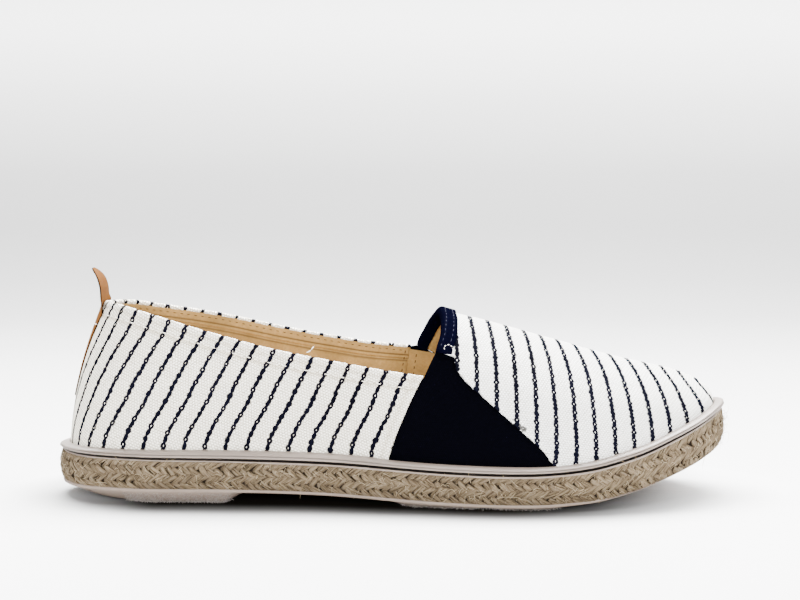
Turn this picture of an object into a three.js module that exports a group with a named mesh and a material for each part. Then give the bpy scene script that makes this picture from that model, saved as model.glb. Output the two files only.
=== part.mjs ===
// Slip-on espadrille for the right foot: striped canvas upper, elastic gores and a braided jute sole.
// Millimetres. X runs from heel to toe, Y to the inner side of the foot and Z up. The shoe stands on z = 0.
import * as THREE from 'three';
import { mergeVertices } from 'three/addons/utils/BufferGeometryUtils.js';

// Overall sizes
const LENGTH = 290;
const BALL_WIDTH = 101;
const HEEL_HEIGHT = 64; // collar above the midsole, at the back of the heel
const INSTEP_HEIGHT = 64; // crest of the vamp above the midsole, at the throat
const TOE_SPRING = 18.8;

// Sole
const HEEL_PAD = 7;
const FOREFOOT_PAD = 3.2;
const OUTSOLE_EDGE = 1.2;
const PAD_INSET = 9;
const MIDSOLE_THICKNESS = 13;
const MIDSOLE_TOE_THICKNESS = 2.3; // added round the toe
const MIDSOLE_BULGE_DEPTH = 1.4;
const WELT_HEIGHT = 3.6;
const WELT_SHADOW_GROOVE = 0.9;
const WELT_INSET = 1.5;
const INSOLE_THICKNESS = 3;

// Upper
const UPPER_INSET = 4.5;
const UPPER_WALL = 2.2;
const GORE_THICKNESS = 0.8;
const BINDING_WIDTH = 6.8;
const BINDING_THICKNESS = 0.9;
const STRIP_WIDTH = 15;
const STRIP_THICKNESS = 1.2;
const STRIP_DROP = 42; // below the collar
const TAB_HEIGHT = 14;
const GAP = 0.3; // between pieces that meet

// How finely the faces are divided
const RING_COUNT = 42; // stations along each side of the sole
const QUARTER_COLUMNS = 20;
const GORE_COLUMNS = 5;
const VAMP_COLUMNS = 16;
const COLLAR_ROWS = 7;
const VAMP_ROWS = 7;
const STRIP_ROWS = 6;
const END_CROWDING = 0.4; // how much closer the stations stand at heel and toe

// Outline of the sole at its widest, from the heel along the outer side to the toe and back.
// Columns: share of LENGTH, share of BALL_WIDTH
const OUTLINE = [
  [0.000, 0.000],
  [0.035, -0.225], [0.120, -0.330], [0.240, -0.352], [0.380, -0.372],
  [0.520, -0.440], [0.655, -0.500], [0.780, -0.478], [0.880, -0.375], [0.958, -0.200],
  [1.000, 0.050],
  [0.968, 0.270], [0.895, 0.405], [0.790, 0.472], [0.680, 0.455], [0.550, 0.365],
  [0.420, 0.310], [0.280, 0.318], [0.130, 0.315], [0.040, 0.222],
];
const TOE_ROW = 10;

// Underside of the midsole.
// Columns: share of LENGTH, blend from the forefoot pad's height (0) to the heel pad's (1), share of TOE_SPRING
const BOTTOM_LINE = [
  [0.000, 1.00, 0.000], [0.230, 1.00, 0.000], [0.397, 0.79, 0.000], [0.576, 0.13, 0.000],
  [0.690, 0.00, 0.000], [0.779, 0.00, 0.075], [0.848, 0.00, 0.277], [0.917, 0.00, 0.596],
  [1.000, 0.00, 1.000],
];

// Where the outsole is thick enough to touch the floor.
// Columns: share of LENGTH, lift from the floor (0) to a thin skin under the midsole (1)
const PAD_LIFT = [
  [0.000, 1], [0.045, 0], [0.240, 0], [0.290, 1], [0.480, 1], [0.530, 0], [0.710, 0], [0.775, 1], [1.000, 1],
];

// Height of the welt. Columns: share of LENGTH, share of WELT_HEIGHT
const WELT_LINE = [[0.00, 1.28], [0.07, 1.03], [0.70, 0.97], [0.88, 1.03], [0.96, 1.25], [1.00, 1.55]];

// Crest of the last, running on above the open collar. Columns: share of LENGTH, share of INSTEP_HEIGHT
const CREST = [
  [0.000, 1.656], [0.140, 1.656], [0.245, 1.578], [0.383, 1.355], [0.486, 1.153], [0.571, 0.985],
  [0.640, 0.912], [0.710, 0.823], [0.779, 0.712], [0.848, 0.570], [0.905, 0.430], [0.952, 0.300],
  [1.000, 0.185],
];
// Plan of the crest. Columns: share of LENGTH, share of BALL_WIDTH
const CREST_PLAN = [[0.00, 0.00], [0.21, 0.00], [0.565, -0.02], [0.79, 0.005], [1.00, 0.05]];
// Shares of LENGTH where the ribs of the heel and of the toe run out, on the last and on the sole's plates
const LAST_ENDS = [0.210, 0.907];
const PLATE_ENDS = [0.110, 0.890];

// Fullness of a rib from feather to crest. Columns: share along the side, exponent of the rib's curve
const FULLNESS = [[0.00, 1.68], [0.15, 1.75], [0.35, 2.10], [0.70, 2.10], [0.85, 2.30], [1.00, 2.90]];

// Top edge of the quarters. Columns: share of LENGTH, share of HEEL_HEIGHT on the outer and on the inner side
const COLLAR = [
  [0.000, 1.000, 1.000], [0.085, 0.990, 0.992], [0.150, 0.925, 0.945], [0.235, 0.815, 0.880],
  [0.330, 0.710, 0.793], [0.410, 0.650, 0.737], [0.470, 0.617, 0.708], [0.540, 0.592, 0.698],
];

// Lines drawn on the upper's side. Columns: share up the rib, share along the side
const QUARTER_FRONT = {
  outer: [[0.000, 0.482], [0.100, 0.495], [0.200, 0.507], [0.300, 0.517], [0.365, 0.522]],
  inner: [[0.000, 0.482], [0.150, 0.496], [0.300, 0.503], [0.435, 0.505]],
};
const VAMP_REAR = {
  outer: [
    [0.000, 0.695], [0.070, 0.682], [0.200, 0.645], [0.320, 0.604], [0.410, 0.573], [0.492, 0.552],
    [0.507, 0.535], [0.650, 0.538], [0.800, 0.534], [0.920, 0.525], [1.000, 0.518],
  ],
  inner: [
    [0.000, 0.690], [0.070, 0.678], [0.180, 0.642], [0.300, 0.596], [0.380, 0.562], [0.440, 0.533],
    [0.455, 0.514], [0.600, 0.520], [0.800, 0.524], [0.920, 0.521], [1.000, 0.518],
  ],
};
// Share up the rib of the row that begins at the foot of the throat, and of the same row at the toe
const THROAT_FOOT = { outer: 0.507, inner: 0.455, toe: 0.480 };

// Heel strip, from its foot to the collar. Columns: share of STRIP_DROP, share of STRIP_WIDTH, of STRIP_THICKNESS
const STRIP_TAPER = [[0, 0.30, 0.50], [0.07, 0.55, 0.52], [0.5, 0.75, 0.75], [1, 1, 1]];
// Free tab. Columns: rise and lean back as shares of TAB_HEIGHT, share of STRIP_WIDTH
const TAB = [[0.30, 0.01, 1.00], [0.58, 0.07, 1.00], [0.80, 0.18, 0.88], [0.93, 0.29, 0.62], [1.00, 0.36, 0.30]];

const vec = (x, y, z) => new THREE.Vector3(x, y, z);
const mix = (a, b, share) => a + (b - a) * share;

// Smooth value of one column at a place along a table, with no overshoot between its rows.
function along(table, place, column = 1) {
  const last = table.length - 1;
  const at = Math.min(Math.max(place, table[0][0]), table[last][0]);
  let row = 0;
  while (row < last - 1 && at > table[row + 1][0]) row += 1;
  const slope = (i) => (table[i + 1][column] - table[i][column]) / (table[i + 1][0] - table[i][0]);
  const tangent = (i) => {
    if (i === 0) return slope(0);
    if (i === last) return slope(last - 1);
    const [before, after] = [slope(i - 1), slope(i)];
    return before * after > 0 ? 2 * before * after / (before + after) : 0;
  };
  const width = table[row + 1][0] - table[row][0];
  const s = (at - table[row][0]) / width;
  return table[row][column] * (1 + 2 * s) * (1 - s) ** 2
    + tangent(row) * width * s * (1 - s) ** 2
    + table[row + 1][column] * s * s * (3 - 2 * s)
    + tangent(row + 1) * width * s * s * (s - 1);
}

// Levels of the sole at a distance from the heel.
function midsoleBottom(x) {
  const place = x / LENGTH;
  return mix(FOREFOOT_PAD, HEEL_PAD, along(BOTTOM_LINE, place)) + TOE_SPRING * along(BOTTOM_LINE, place, 2);
}
function midsoleTop(x) {
  const toe = Math.max(0, (x / LENGTH - 0.845) / 0.155);
  return midsoleBottom(x) + MIDSOLE_THICKNESS + MIDSOLE_TOE_THICKNESS * Math.min(toe, 1) ** 1.5;
}
const outsoleBottom = (x) => (midsoleBottom(x) - GAP - OUTSOLE_EDGE) * along(PAD_LIFT, x / LENGTH);
const weltTop = (x) => midsoleTop(x) + WELT_HEIGHT * along(WELT_LINE, x / LENGTH);

const outline = new THREE.CatmullRomCurve3(
  OUTLINE.map(([length, width]) => vec(length * LENGTH, width * BALL_WIDTH, 0)), true, 'centripetal');
outline.arcLengthDivisions = 1000;
const lengths = outline.getLengths();
const toeShare = lengths[Math.round(TOE_ROW / OUTLINE.length * 1000)] / lengths[1000];

// Point of the outline, moved in by an inset. Place 0 is the heel, -1 and 1 the toe by the outer and inner side.
function rim(place, inset = 0) {
  const share = place < 0 ? -place * toeShare : 1 - place * (1 - toeShare);
  const u = Math.min(Math.max(share, 0), 1);
  const point = outline.getPointAt(u % 1);
  const tangent = outline.getTangentAt(u % 1);
  return point.add(vec(-tangent.y, tangent.x, 0).multiplyScalar(inset));
}
// Point of the middle line where the rib from a place on the rim ends.
function middleLine(place, ends) {
  const share = mix(...ends, Math.abs(place));
  return vec(share * LENGTH, along(CREST_PLAN, share) * BALL_WIDTH, 0);
}
const feather = (x) => midsoleTop(x) + GAP;
const crest = (x) => midsoleTop(x) + INSTEP_HEIGHT * along(CREST, x / LENGTH);
const fullness = (place) => along(FULLNESS, Math.abs(place));

// Outer face of the last at a place round the rim and a share up the rib, from feather (0) to crest (1).
function last(place, up) {
  const power = 2 / fullness(place);
  const out = Math.max(Math.cos(up * Math.PI / 2), 0) ** power;
  const rise = Math.max(Math.sin(up * Math.PI / 2), 0) ** power;
  const point = middleLine(place, LAST_ENDS).lerp(rim(place, UPPER_INSET), out);
  point.z = mix(feather(point.x), crest(point.x), rise);
  return point;
}
function lastNormal(place, up) {
  const step = 1e-3;
  const height = Math.min(Math.max(up, step * 2), 1 - step);
  const wrap = (p) => (p > 1 ? p - 2 : p < -1 ? p + 2 : p);
  const round = last(wrap(place + step), height).sub(last(wrap(place - step), height));
  const rise = last(place, height + step).sub(last(place, height - step));
  return rise.cross(round).normalize();
}
// The same face moved out by a depth along its normal, or in by a negative one.
function skin(place, up, depth) {
  const normal = lastNormal(place, up);
  if (up > 0.999) normal.add(lastNormal(-place, up)).normalize();
  return last(place, up).addScaledVector(normal, depth);
}
// Share up the rib that lies at a height above the feather.
function shareAt(place, height) {
  let [low, high] = [0, 1];
  for (let i = 0; i < 30; i += 1) {
    const middle = (low + high) / 2;
    const point = last(place, middle);
    if (point.z - feather(point.x) < height) low = middle;
    else high = middle;
  }
  return (low + high) / 2;
}
// Share up the rib where it meets the collar's edge.
function collarShare(place) {
  const column = place < 0 ? 1 : 2;
  let [low, high] = [0, 1];
  for (let i = 0; i < 30; i += 1) {
    const middle = (low + high) / 2;
    const point = last(place, middle);
    if (point.z - midsoleTop(point.x) < HEEL_HEIGHT * along(COLLAR, point.x / LENGTH, column)) low = middle;
    else high = middle;
  }
  return (low + high) / 2;
}

const keyOf = (p) => [p.x, p.y, p.z].map((value) => Math.round(value * 1e4)).join();

// Closed geometry from triangles of points. Triangles that shrink to a line are dropped.
function closed(triangles) {
  const real = triangles.filter((corners) => new Set(corners.map(keyOf)).size === 3);
  const geometry = new THREE.BufferGeometry().setFromPoints(real.flat());
  const merged = mergeVertices(geometry, 1e-4);
  merged.computeVertexNormals();
  return merged;
}
// Two triangles of a four-sided cell, split along its shorter diagonal.
function quad(a, b, c, d, at = (corner) => corner) {
  return at(a).distanceTo(at(c)) < at(b).distanceTo(at(d)) ? [[a, b, c], [a, c, d]] : [[a, b, d], [b, c, d]];
}

// Solid between the outer and inner face of a sheet. Its nodes hold both points, and its open edges are walled.
function thicken(cells) {
  const triangles = cells.flatMap((cell) => quad(...cell, (node) => node.outer));
  const real = triangles.filter((nodes) => new Set(nodes.map((node) => keyOf(node.outer))).size === 3);
  const edges = new Map();
  for (const nodes of real) {
    nodes.forEach((from, i) => {
      const to = nodes[(i + 1) % 3];
      edges.set(`${keyOf(from.outer)} ${keyOf(to.outer)}`, [from, to]);
    });
  }
  const walls = [];
  for (const [from, to] of edges.values()) {
    if (edges.has(`${keyOf(to.outer)} ${keyOf(from.outer)}`)) continue;
    walls.push(...quad(to.outer, from.outer, from.inner, to.inner));
  }
  const outer = real.map((nodes) => nodes.map((node) => node.outer));
  const inner = real.map(([a, b, c]) => [c.inner, b.inner, a.inner]);
  return closed([...outer, ...inner, ...walls]);
}
// Cells of a grid of nodes, node(i, j). They face out where i runs with the places and j runs up.
function grid(columns, rows, node) {
  const nodes = Array.from({ length: columns + 1 }, (_, i) => (
    Array.from({ length: rows + 1 }, (__, j) => node(i, j))));
  const cells = [];
  for (let i = 0; i < columns; i += 1) {
    for (let j = 0; j < rows; j += 1) {
      cells.push([nodes[i][j], nodes[i][j + 1], nodes[i + 1][j + 1], nodes[i + 1][j]]);
    }
  }
  return cells;
}

// Stations round the rim, from the toe along the outer side to the heel and back to the toe.
const crowd = (s) => s - END_CROWDING * Math.sin(2 * Math.PI * s) / (2 * Math.PI);
const STATIONS = [];
for (let i = 0; i < RING_COUNT; i += 1) STATIONS.push(-crowd(1 - i / RING_COUNT));
for (let i = 0; i < RING_COUNT; i += 1) STATIONS.push(crowd(i / RING_COUNT));

// Solid swept round the rim. The profile at a place runs from the top centre out and down to the bottom centre,
// or closes on itself round a band.
function sweep(profile, isBand = false) {
  const ring = STATIONS.map(profile);
  const triangles = [];
  ring.forEach((here, i) => {
    const next = ring[(i + 1) % ring.length];
    const steps = isBand ? here.length : here.length - 1;
    for (let k = 0; k < steps; k += 1) {
      const l = (k + 1) % here.length;
      triangles.push(...quad(here[l], here[k], next[k], next[l]));
    }
  });
  return closed(triangles);
}
// Point of a plate: a share out from the middle line to the rim, at a level that depends on x.
function plate(place, inset, share, level) {
  const point = middleLine(place, PLATE_ENDS).lerp(rim(place, inset), share);
  point.z = level(point.x);
  return point;
}
const PLATE_RINGS = [0, 0.35, 0.7, 1]; // shares out from the middle line
const INWARD_RINGS = [...PLATE_RINGS].reverse();

// Rubber outsole: a thin skin under the midsole, thickened to a heel pad and a forefoot pad.
function outsole() {
  const top = (x) => midsoleBottom(x) - GAP;
  const edge = (x) => top(x) - OUTSOLE_EDGE;
  return sweep((place) => [
    ...PLATE_RINGS.map((share) => plate(place, MIDSOLE_BULGE_DEPTH, share, top)),
    plate(place, MIDSOLE_BULGE_DEPTH, 1, edge),
    ...INWARD_RINGS.map((share) => plate(place, PAD_INSET, share, outsoleBottom)),
  ]);
}

// Jute midsole: the braid's true outline, with a side that swells at mid height.
function midsole() {
  const level = (share) => (x) => mix(midsoleBottom(x), midsoleTop(x), share);
  const side = [[0.82, 0.3], [0.5, 0], [0.2, 0.25]]; // columns: share of the height, share of MIDSOLE_BULGE_DEPTH
  return sweep((place) => [
    ...PLATE_RINGS.map((share) => plate(place, MIDSOLE_BULGE_DEPTH, share, midsoleTop)),
    ...side.map(([share, inset]) => plate(place, MIDSOLE_BULGE_DEPTH * inset, 1, level(share))),
    ...INWARD_RINGS.map((share) => plate(place, MIDSOLE_BULGE_DEPTH, share, midsoleBottom)),
  ]);
}

// Rubber welt: a band round the foot of the upper, with a shadow groove above the braid.
function welt() {
  return sweep((place) => {
    const level = (share) => (x) => mix(midsoleTop(x) + WELT_SHADOW_GROOVE, weltTop(x), share);
    const foot = rim(place, UPPER_INSET);
    const height = weltTop(foot.x) - feather(foot.x);
    const lean = rim(place, 0).distanceTo(skin(place, shareAt(place, height), GAP).setZ(0));
    const inset = (share) => mix(WELT_INSET, lean, share);
    return [
      skin(place, shareAt(place, height), GAP),
      plate(place, inset(0.55), 1, level(1)),
      plate(place, inset(0.22), 1, level(0.8)),
      plate(place, inset(0), 1, level(0.4)),
      plate(place, inset(0.08), 1, level(0)),
      plate(place, inset(0.6), 1, feather),
      skin(place, 0, GAP),
      skin(place, shareAt(place, height / 2), GAP),
    ];
  }, true);
}

// Insole: a plate inside the upper, following its wall.
function insole() {
  const depth = -UPPER_WALL - GAP;
  const top = (x) => feather(x) + INSOLE_THICKNESS;
  const inside = (place, share, level, height) => {
    const wall = skin(place, shareAt(place, height), depth);
    const point = middleLine(place, PLATE_ENDS).lerp(vec(wall.x, wall.y, 0), share);
    point.z = level(point.x);
    return point;
  };
  return sweep((place) => [
    ...PLATE_RINGS.map((share) => inside(place, share, top, INSOLE_THICKNESS)),
    ...INWARD_RINGS.map((share) => inside(place, share, feather, 0)),
  ]);
}

// Names the two sides: the outer one has places below 0, the inner one above.
const SIDES = [['outer', -1], ['inner', 1]];

// Nodes of the upper's regions. Rows run up from the feather, and the first COLLAR_ROWS of the vamp match
// those of the gore and of the quarter.
const goreDepth = -(GORE_THICKNESS + 2 * GAP);
const shellNode = (place, up, depth = 0) => ({
  outer: skin(place, up, depth),
  inner: skin(place, up, -UPPER_WALL),
});
const frontTop = (side) => QUARTER_FRONT[side].at(-1)[0];
function quarterNode(side, sign, column, row, depth) {
  const s = column / QUARTER_COLUMNS;
  const share = s - END_CROWDING * Math.sin(Math.PI * s) / Math.PI;
  const front = frontTop(side) * row / COLLAR_ROWS;
  const place = sign * share * along(QUARTER_FRONT[side], front);
  const edge = column === QUARTER_COLUMNS ? frontTop(side) : collarShare(place);
  return shellNode(place, edge * row / COLLAR_ROWS, depth);
}
function goreAt(side, sign, share, height) {
  const up = mix(frontTop(side), THROAT_FOOT[side], share) * height;
  const rear = along(QUARTER_FRONT[side], frontTop(side) * height);
  const front = along(VAMP_REAR[side], THROAT_FOOT[side] * height);
  return [sign * mix(rear, front, share), up];
}
function vampNode(side, sign, column, row, depth) {
  const s = column / VAMP_COLUMNS;
  const share = s + END_CROWDING * Math.sin(Math.PI * s) / Math.PI;
  const upAt = (foot) => (
    row <= COLLAR_ROWS ? foot * row / COLLAR_ROWS : mix(foot, 1, (row - COLLAR_ROWS) / VAMP_ROWS));
  const rear = along(VAMP_REAR[side], upAt(THROAT_FOOT[side]));
  const up = upAt(mix(THROAT_FOOT[side], THROAT_FOOT.toe, share));
  return shellNode(sign * mix(rear, 1, share), up, depth);
}

// Canvas upper: quarters and vamp stand proud, and the wall is let in where each elastic gore lies.
function upper() {
  const cells = [];
  for (const [side, sign] of SIDES) {
    const facing = (cell) => (sign > 0 ? cell : [...cell].reverse());
    const quarter = grid(QUARTER_COLUMNS, COLLAR_ROWS, (i, j) => quarterNode(side, sign, i, j));
    const vamp = grid(VAMP_COLUMNS, COLLAR_ROWS + VAMP_ROWS, (i, j) => vampNode(side, sign, i, j));
    const gore = grid(GORE_COLUMNS, COLLAR_ROWS, (i, j) => (
      shellNode(...goreAt(side, sign, i / GORE_COLUMNS, j / COLLAR_ROWS), goreDepth)));
    const rearStep = grid(1, COLLAR_ROWS, (i, j) => (
      quarterNode(side, sign, QUARTER_COLUMNS, j, i === 0 ? 0 : goreDepth)));
    const frontStep = grid(1, COLLAR_ROWS, (i, j) => vampNode(side, sign, 0, j, i === 0 ? goreDepth : 0));
    cells.push(...[...quarter, ...rearStep, ...gore, ...frontStep, ...vamp].map(facing));
  }
  return thicken(cells);
}

// Elastic gore: a panel that fills the recess, clear of its walls and a little below the canvas.
function gore(side, sign) {
  const node = (i, j) => {
    const height = j / COLLAR_ROWS;
    const rear = last(...goreAt(side, sign, 0, height));
    const front = last(...goreAt(side, sign, 1, height));
    const clear = 2 * GAP / rear.distanceTo(front);
    const spot = goreAt(side, sign, mix(clear, 1 - clear, i / GORE_COLUMNS), height);
    return { outer: skin(...spot, -GAP), inner: skin(...spot, goreDepth + GAP) };
  };
  const cells = grid(GORE_COLUMNS, COLLAR_ROWS, node);
  return thicken(sign > 0 ? cells : cells.map((cell) => [...cell].reverse()));
}

// Throat binding: a tape folded over the vamp's edge, from the inner gore over the instep to the outer one.
function binding() {
  const near = 1.5 * GAP;
  const far = near + BINDING_THICKNESS;
  // Columns: distance forward of the edge and depth, on the tape's outer and then its inner face
  const fold = [
    [BINDING_WIDTH, far, BINDING_WIDTH, near],
    [BINDING_WIDTH / 2, far, BINDING_WIDTH / 2, near],
    [0, far, 0, near],
    [-far, 0, -near, 0],
    [-far, -UPPER_WALL, -near, -UPPER_WALL],
    [0, -UPPER_WALL - far, 0, -UPPER_WALL - near],
    [BINDING_WIDTH / 2, -UPPER_WALL - far, BINDING_WIDTH / 2, -UPPER_WALL - near],
    [BINDING_WIDTH, -UPPER_WALL - far, BINDING_WIDTH, -UPPER_WALL - near],
  ];
  const edges = [];
  for (let row = 0; row < VAMP_ROWS; row += 1) edges.push(['inner', 1, row / VAMP_ROWS]);
  for (let row = VAMP_ROWS; row >= 0; row -= 1) edges.push(['outer', -1, row / VAMP_ROWS]);
  const point = ([side, sign, share], forward, depth) => {
    const up = mix(THROAT_FOOT[side], 1, share);
    const place = along(VAMP_REAR[side], up);
    const pace = last(sign * (place + 0.02), up).distanceTo(last(sign * place, up)) / 0.02;
    return skin(sign * (place + forward / pace), up, depth);
  };
  const cells = grid(edges.length - 1, fold.length - 1, (i, j) => {
    const [outForward, outDepth, inForward, inDepth] = fold[j];
    return { outer: point(edges[i], outForward, outDepth), inner: point(edges[i], inForward, inDepth) };
  });
  return thicken(cells);
}

// Leather heel strip: sewn up the back seam, it ends in a free tab that leans back.
function heelStrip() {
  const across = [-1, -0.5, 0, 0.5, 1];
  const foot = shareAt(0, HEEL_HEIGHT - STRIP_DROP);
  const collar = collarShare(0);
  const pace = last(0.02, collar).distanceTo(last(0, collar)) / 0.02;
  const onHeel = (share, s) => {
    const up = mix(foot, collar, share);
    const place = s * STRIP_WIDTH / 2 * along(STRIP_TAPER, share) / pace;
    const depth = GAP + STRIP_THICKNESS * along(STRIP_TAPER, share, 2);
    return { outer: skin(place, up, depth), inner: skin(place, up, GAP) };
  };
  const tabRows = [[0, 0, 1], ...TAB];
  const onTab = (row, s) => {
    const [rise, lean, width] = tabRows[row];
    const [lowRise, lowLean] = tabRows[Math.max(row - 1, 0)];
    const [highRise, highLean] = tabRows[Math.min(row + 1, tabRows.length - 1)];
    const tilt = Math.atan2(highLean - lowLean, highRise - lowRise);
    const base = onHeel(1, s).inner;
    const spine = onHeel(1, 0).inner;
    const x = mix(spine.x, base.x, width ** 2) - lean * TAB_HEIGHT;
    const inner = vec(x, base.y * width, mix(spine.z, base.z, width ** 2) + rise * TAB_HEIGHT);
    const back = vec(-Math.cos(tilt), 0, -Math.sin(tilt)).multiplyScalar(STRIP_THICKNESS);
    return { outer: inner.clone().add(back), inner };
  };
  const rows = STRIP_ROWS + TAB.length;
  return thicken(grid(across.length - 1, rows, (i, j) => (
    j <= STRIP_ROWS ? onHeel(j / STRIP_ROWS, across[i]) : onTab(j - STRIP_ROWS, across[i]))));
}

// Named mesh with a plain finish.
function piece(name, geometry, color, roughness) {
  const material = new THREE.MeshStandardMaterial({ color, roughness, metalness: 0 });
  const mesh = new THREE.Mesh(geometry, material);
  mesh.name = name;
  return mesh;
}

const shoe = new THREE.Group();
shoe.add(piece('outsole', outsole(), 0xb8ada4, 0.6));
shoe.add(piece('jute_midsole', midsole(), 0xb3a48e, 0.95));
shoe.add(piece('welt', welt(), 0xc9c0b9, 0.5));
shoe.add(piece('upper', upper(), 0xeae6e0, 0.9));
shoe.add(piece('insole', insole(), 0xd8b182, 0.7));
shoe.add(piece('gore_outer_side', gore('outer', -1), 0x0b0d20, 0.85));
shoe.add(piece('gore_inner_side', gore('inner', 1), 0x0b0d20, 0.85));
shoe.add(piece('throat_binding', binding(), 0x1a2150, 0.8));
shoe.add(piece('heel_strip', heelStrip(), 0xc69355, 0.6));

// The origin is under the middle of the shoe, on the floor.
const bounds = new THREE.Box3().setFromObject(shoe);
const middle = bounds.getCenter(vec(0, 0, 0));
shoe.position.set(-middle.x, -middle.y, -bounds.min.z);
const group = new THREE.Group();
group.add(shoe);

export default group;
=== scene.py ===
"""Slip-on espadrille for the right foot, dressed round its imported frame."""
import math

import bmesh
import bpy
import numpy as np
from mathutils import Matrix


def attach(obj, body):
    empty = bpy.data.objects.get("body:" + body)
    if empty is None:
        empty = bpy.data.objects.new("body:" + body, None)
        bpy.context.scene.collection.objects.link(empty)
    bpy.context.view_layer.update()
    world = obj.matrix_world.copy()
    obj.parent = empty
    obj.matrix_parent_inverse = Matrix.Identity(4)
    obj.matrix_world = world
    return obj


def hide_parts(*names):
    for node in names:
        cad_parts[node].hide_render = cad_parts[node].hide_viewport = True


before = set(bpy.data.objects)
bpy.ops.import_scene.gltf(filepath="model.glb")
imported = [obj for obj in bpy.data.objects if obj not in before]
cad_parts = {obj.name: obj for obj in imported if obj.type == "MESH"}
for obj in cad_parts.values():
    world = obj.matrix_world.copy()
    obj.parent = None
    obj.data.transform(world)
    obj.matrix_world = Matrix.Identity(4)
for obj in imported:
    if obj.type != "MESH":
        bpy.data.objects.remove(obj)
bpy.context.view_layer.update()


# CAMERA AND STUDIO
# The shoe stands on a pale sweep of paper that curves up behind it. The camera looks straight at the
# shoe's outer side from a little above. Large soft lights hang over and in front of the paper.

def linear(code):
    """Linear colour of an sRGB hex value: each channel is undone from its display curve."""
    channels = [int(code[i:i + 2], 16) / 255 for i in (1, 3, 5)]
    return tuple(c / 12.92 if c <= 0.04045 else ((c + 0.055) / 1.055) ** 2.4 for c in channels) + (1.0,)


def add(tree, kind, feeds=(), out=0, **settings):
    """Adds a shader node with its settings, feeds its sockets with values or other sockets, and gives one output."""
    made = tree.nodes.new("ShaderNode" + kind)
    for name, value in settings.items():
        setattr(made, name, value)
    for name, value in feeds.items() if isinstance(feeds, dict) else enumerate(feeds):
        if isinstance(value, bpy.types.NodeSocket):
            tree.links.new(value, made.inputs[name])
        elif value is not None:
            made.inputs[name].default_value = value
    return made.outputs[out]


def finish_of(name, **fixed):
    """Empty material with one Principled shader, whose fixed values are set on its own sockets."""
    material = bpy.data.materials.new(name)
    material.use_nodes = True
    shader = material.node_tree.nodes["Principled BSDF"]
    for socket, value in fixed.items():
        shader.inputs[socket.replace("_", " ")].default_value = value
    return material, material.node_tree, shader


def mesh_object(name, points, faces, material, uv=None, merge=1e-6, **values):
    """Object from points and faces of point numbers. Doubles are merged and faces are turned outwards. uv gives each
    point's place on the cloth, and any further value is kept per point for the material."""
    mesh = bpy.data.meshes.new(name)
    faces = np.asarray(faces)
    mesh.from_pydata(np.asarray(points, float).tolist(), [], faces.tolist())
    if uv is not None:
        layer = mesh.uv_layers.new(name="cloth")
        layer.data.foreach_set("uv", np.asarray(uv, float)[faces.ravel()].ravel())
    for value, numbers in values.items():
        mesh.attributes.new(value, "FLOAT", "POINT").data.foreach_set(
            "value", np.asarray(numbers, np.float32).ravel())
    knit = bmesh.new()
    knit.from_mesh(mesh)
    if merge:
        bmesh.ops.remove_doubles(knit, verts=knit.verts, dist=merge)
    bmesh.ops.recalc_face_normals(knit, faces=knit.faces)
    knit.to_mesh(mesh)
    knit.free()
    mesh.polygons.foreach_set("use_smooth", np.ones(len(mesh.polygons), bool))
    mesh.materials.append(material)
    made = bpy.data.objects.new(name, mesh)
    bpy.context.scene.collection.objects.link(made)
    return made


def grid_faces(rows, columns, loop_rows=False, loop_columns=False, start=0):
    """Four-sided faces between neighbours of a grid of points, which may close on itself either way."""
    i = np.arange(rows if loop_rows else rows - 1)[:, None]
    j = np.arange(columns if loop_columns else columns - 1)[None, :]
    i2, j2 = (i + 1) % rows, (j + 1) % columns
    corners = [i * columns + j, i2 * columns + j, i2 * columns + j2, i * columns + j2]
    return np.stack([np.broadcast_to(c, (i.size, j.size)) for c in corners], -1).reshape(-1, 4) + start


# Lens and sensor in millimetres, place in metres, tilt below the horizontal in degrees
LENS, SENSOR_WIDTH, CAMERA_PLACE, CAMERA_TILT = 77.985, 36, (0.003, -0.7488, 0.1436), 4.586
camera_data = bpy.data.cameras.new("camera")
camera_data.lens = LENS
camera_data.sensor_width = SENSOR_WIDTH
camera = bpy.data.objects.new("camera", camera_data)
camera.location = CAMERA_PLACE
camera.rotation_euler = (math.radians(90 - CAMERA_TILT), 0, 0)
bpy.context.scene.collection.objects.link(camera)
bpy.context.scene.camera = camera

paper, tree, shader = finish_of("matt_studio_paper", Roughness=0.95, Specular_IOR_Level=0.0)
# Matt paper with painted light: pale under the shoe, painted darker towards the bend and further back, pale up the
# rise.
tree.links.new(add(tree, "Attribute", attribute_name="tone", out=0), shader.inputs["Base Color"])
# Painted light on the paper: its tone by height up the rise, and by distance behind the shoe on the floor, both in
# metres
RISE_PAINTED_LIGHT = [[0, 0.42], [0.012, 0.34], [0.04, 0.29], [0.08, 0.27], [0.13, 0.32], [0.2, 0.52], [0.28, 0.86],
             [0.5, 0.9]]
FLOOR_PAINTED_LIGHT = [[-0.1, 0.70], [0.1, 0.60], [0.3, 0.51], [0.6, 0.42]]
bend = np.linspace(0, math.pi / 2, 41)
sweep_y = np.concatenate([[-6.0, -0.1], np.linspace(0, 0.6, 7), 0.6 + 0.5 * np.sin(bend[1:]), [1.1]])
sweep_z = np.concatenate([np.zeros(9), 0.5 - 0.5 * np.cos(bend[1:]), [3.0]])
tone = np.where(sweep_z > 0, np.interp(sweep_z, *zip(*RISE_PAINTED_LIGHT)), np.interp(sweep_y, *zip(*FLOOR_PAINTED_LIGHT)))
sweep = np.stack(np.broadcast_arrays(np.array([3.0, -3.0])[:, None], sweep_y, sweep_z), -1).reshape(-1, 3)
backdrop = mesh_object("paper_sweep", sweep, grid_faces(2, len(sweep_y)), paper, tone=np.tile(tone, 2))

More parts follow.
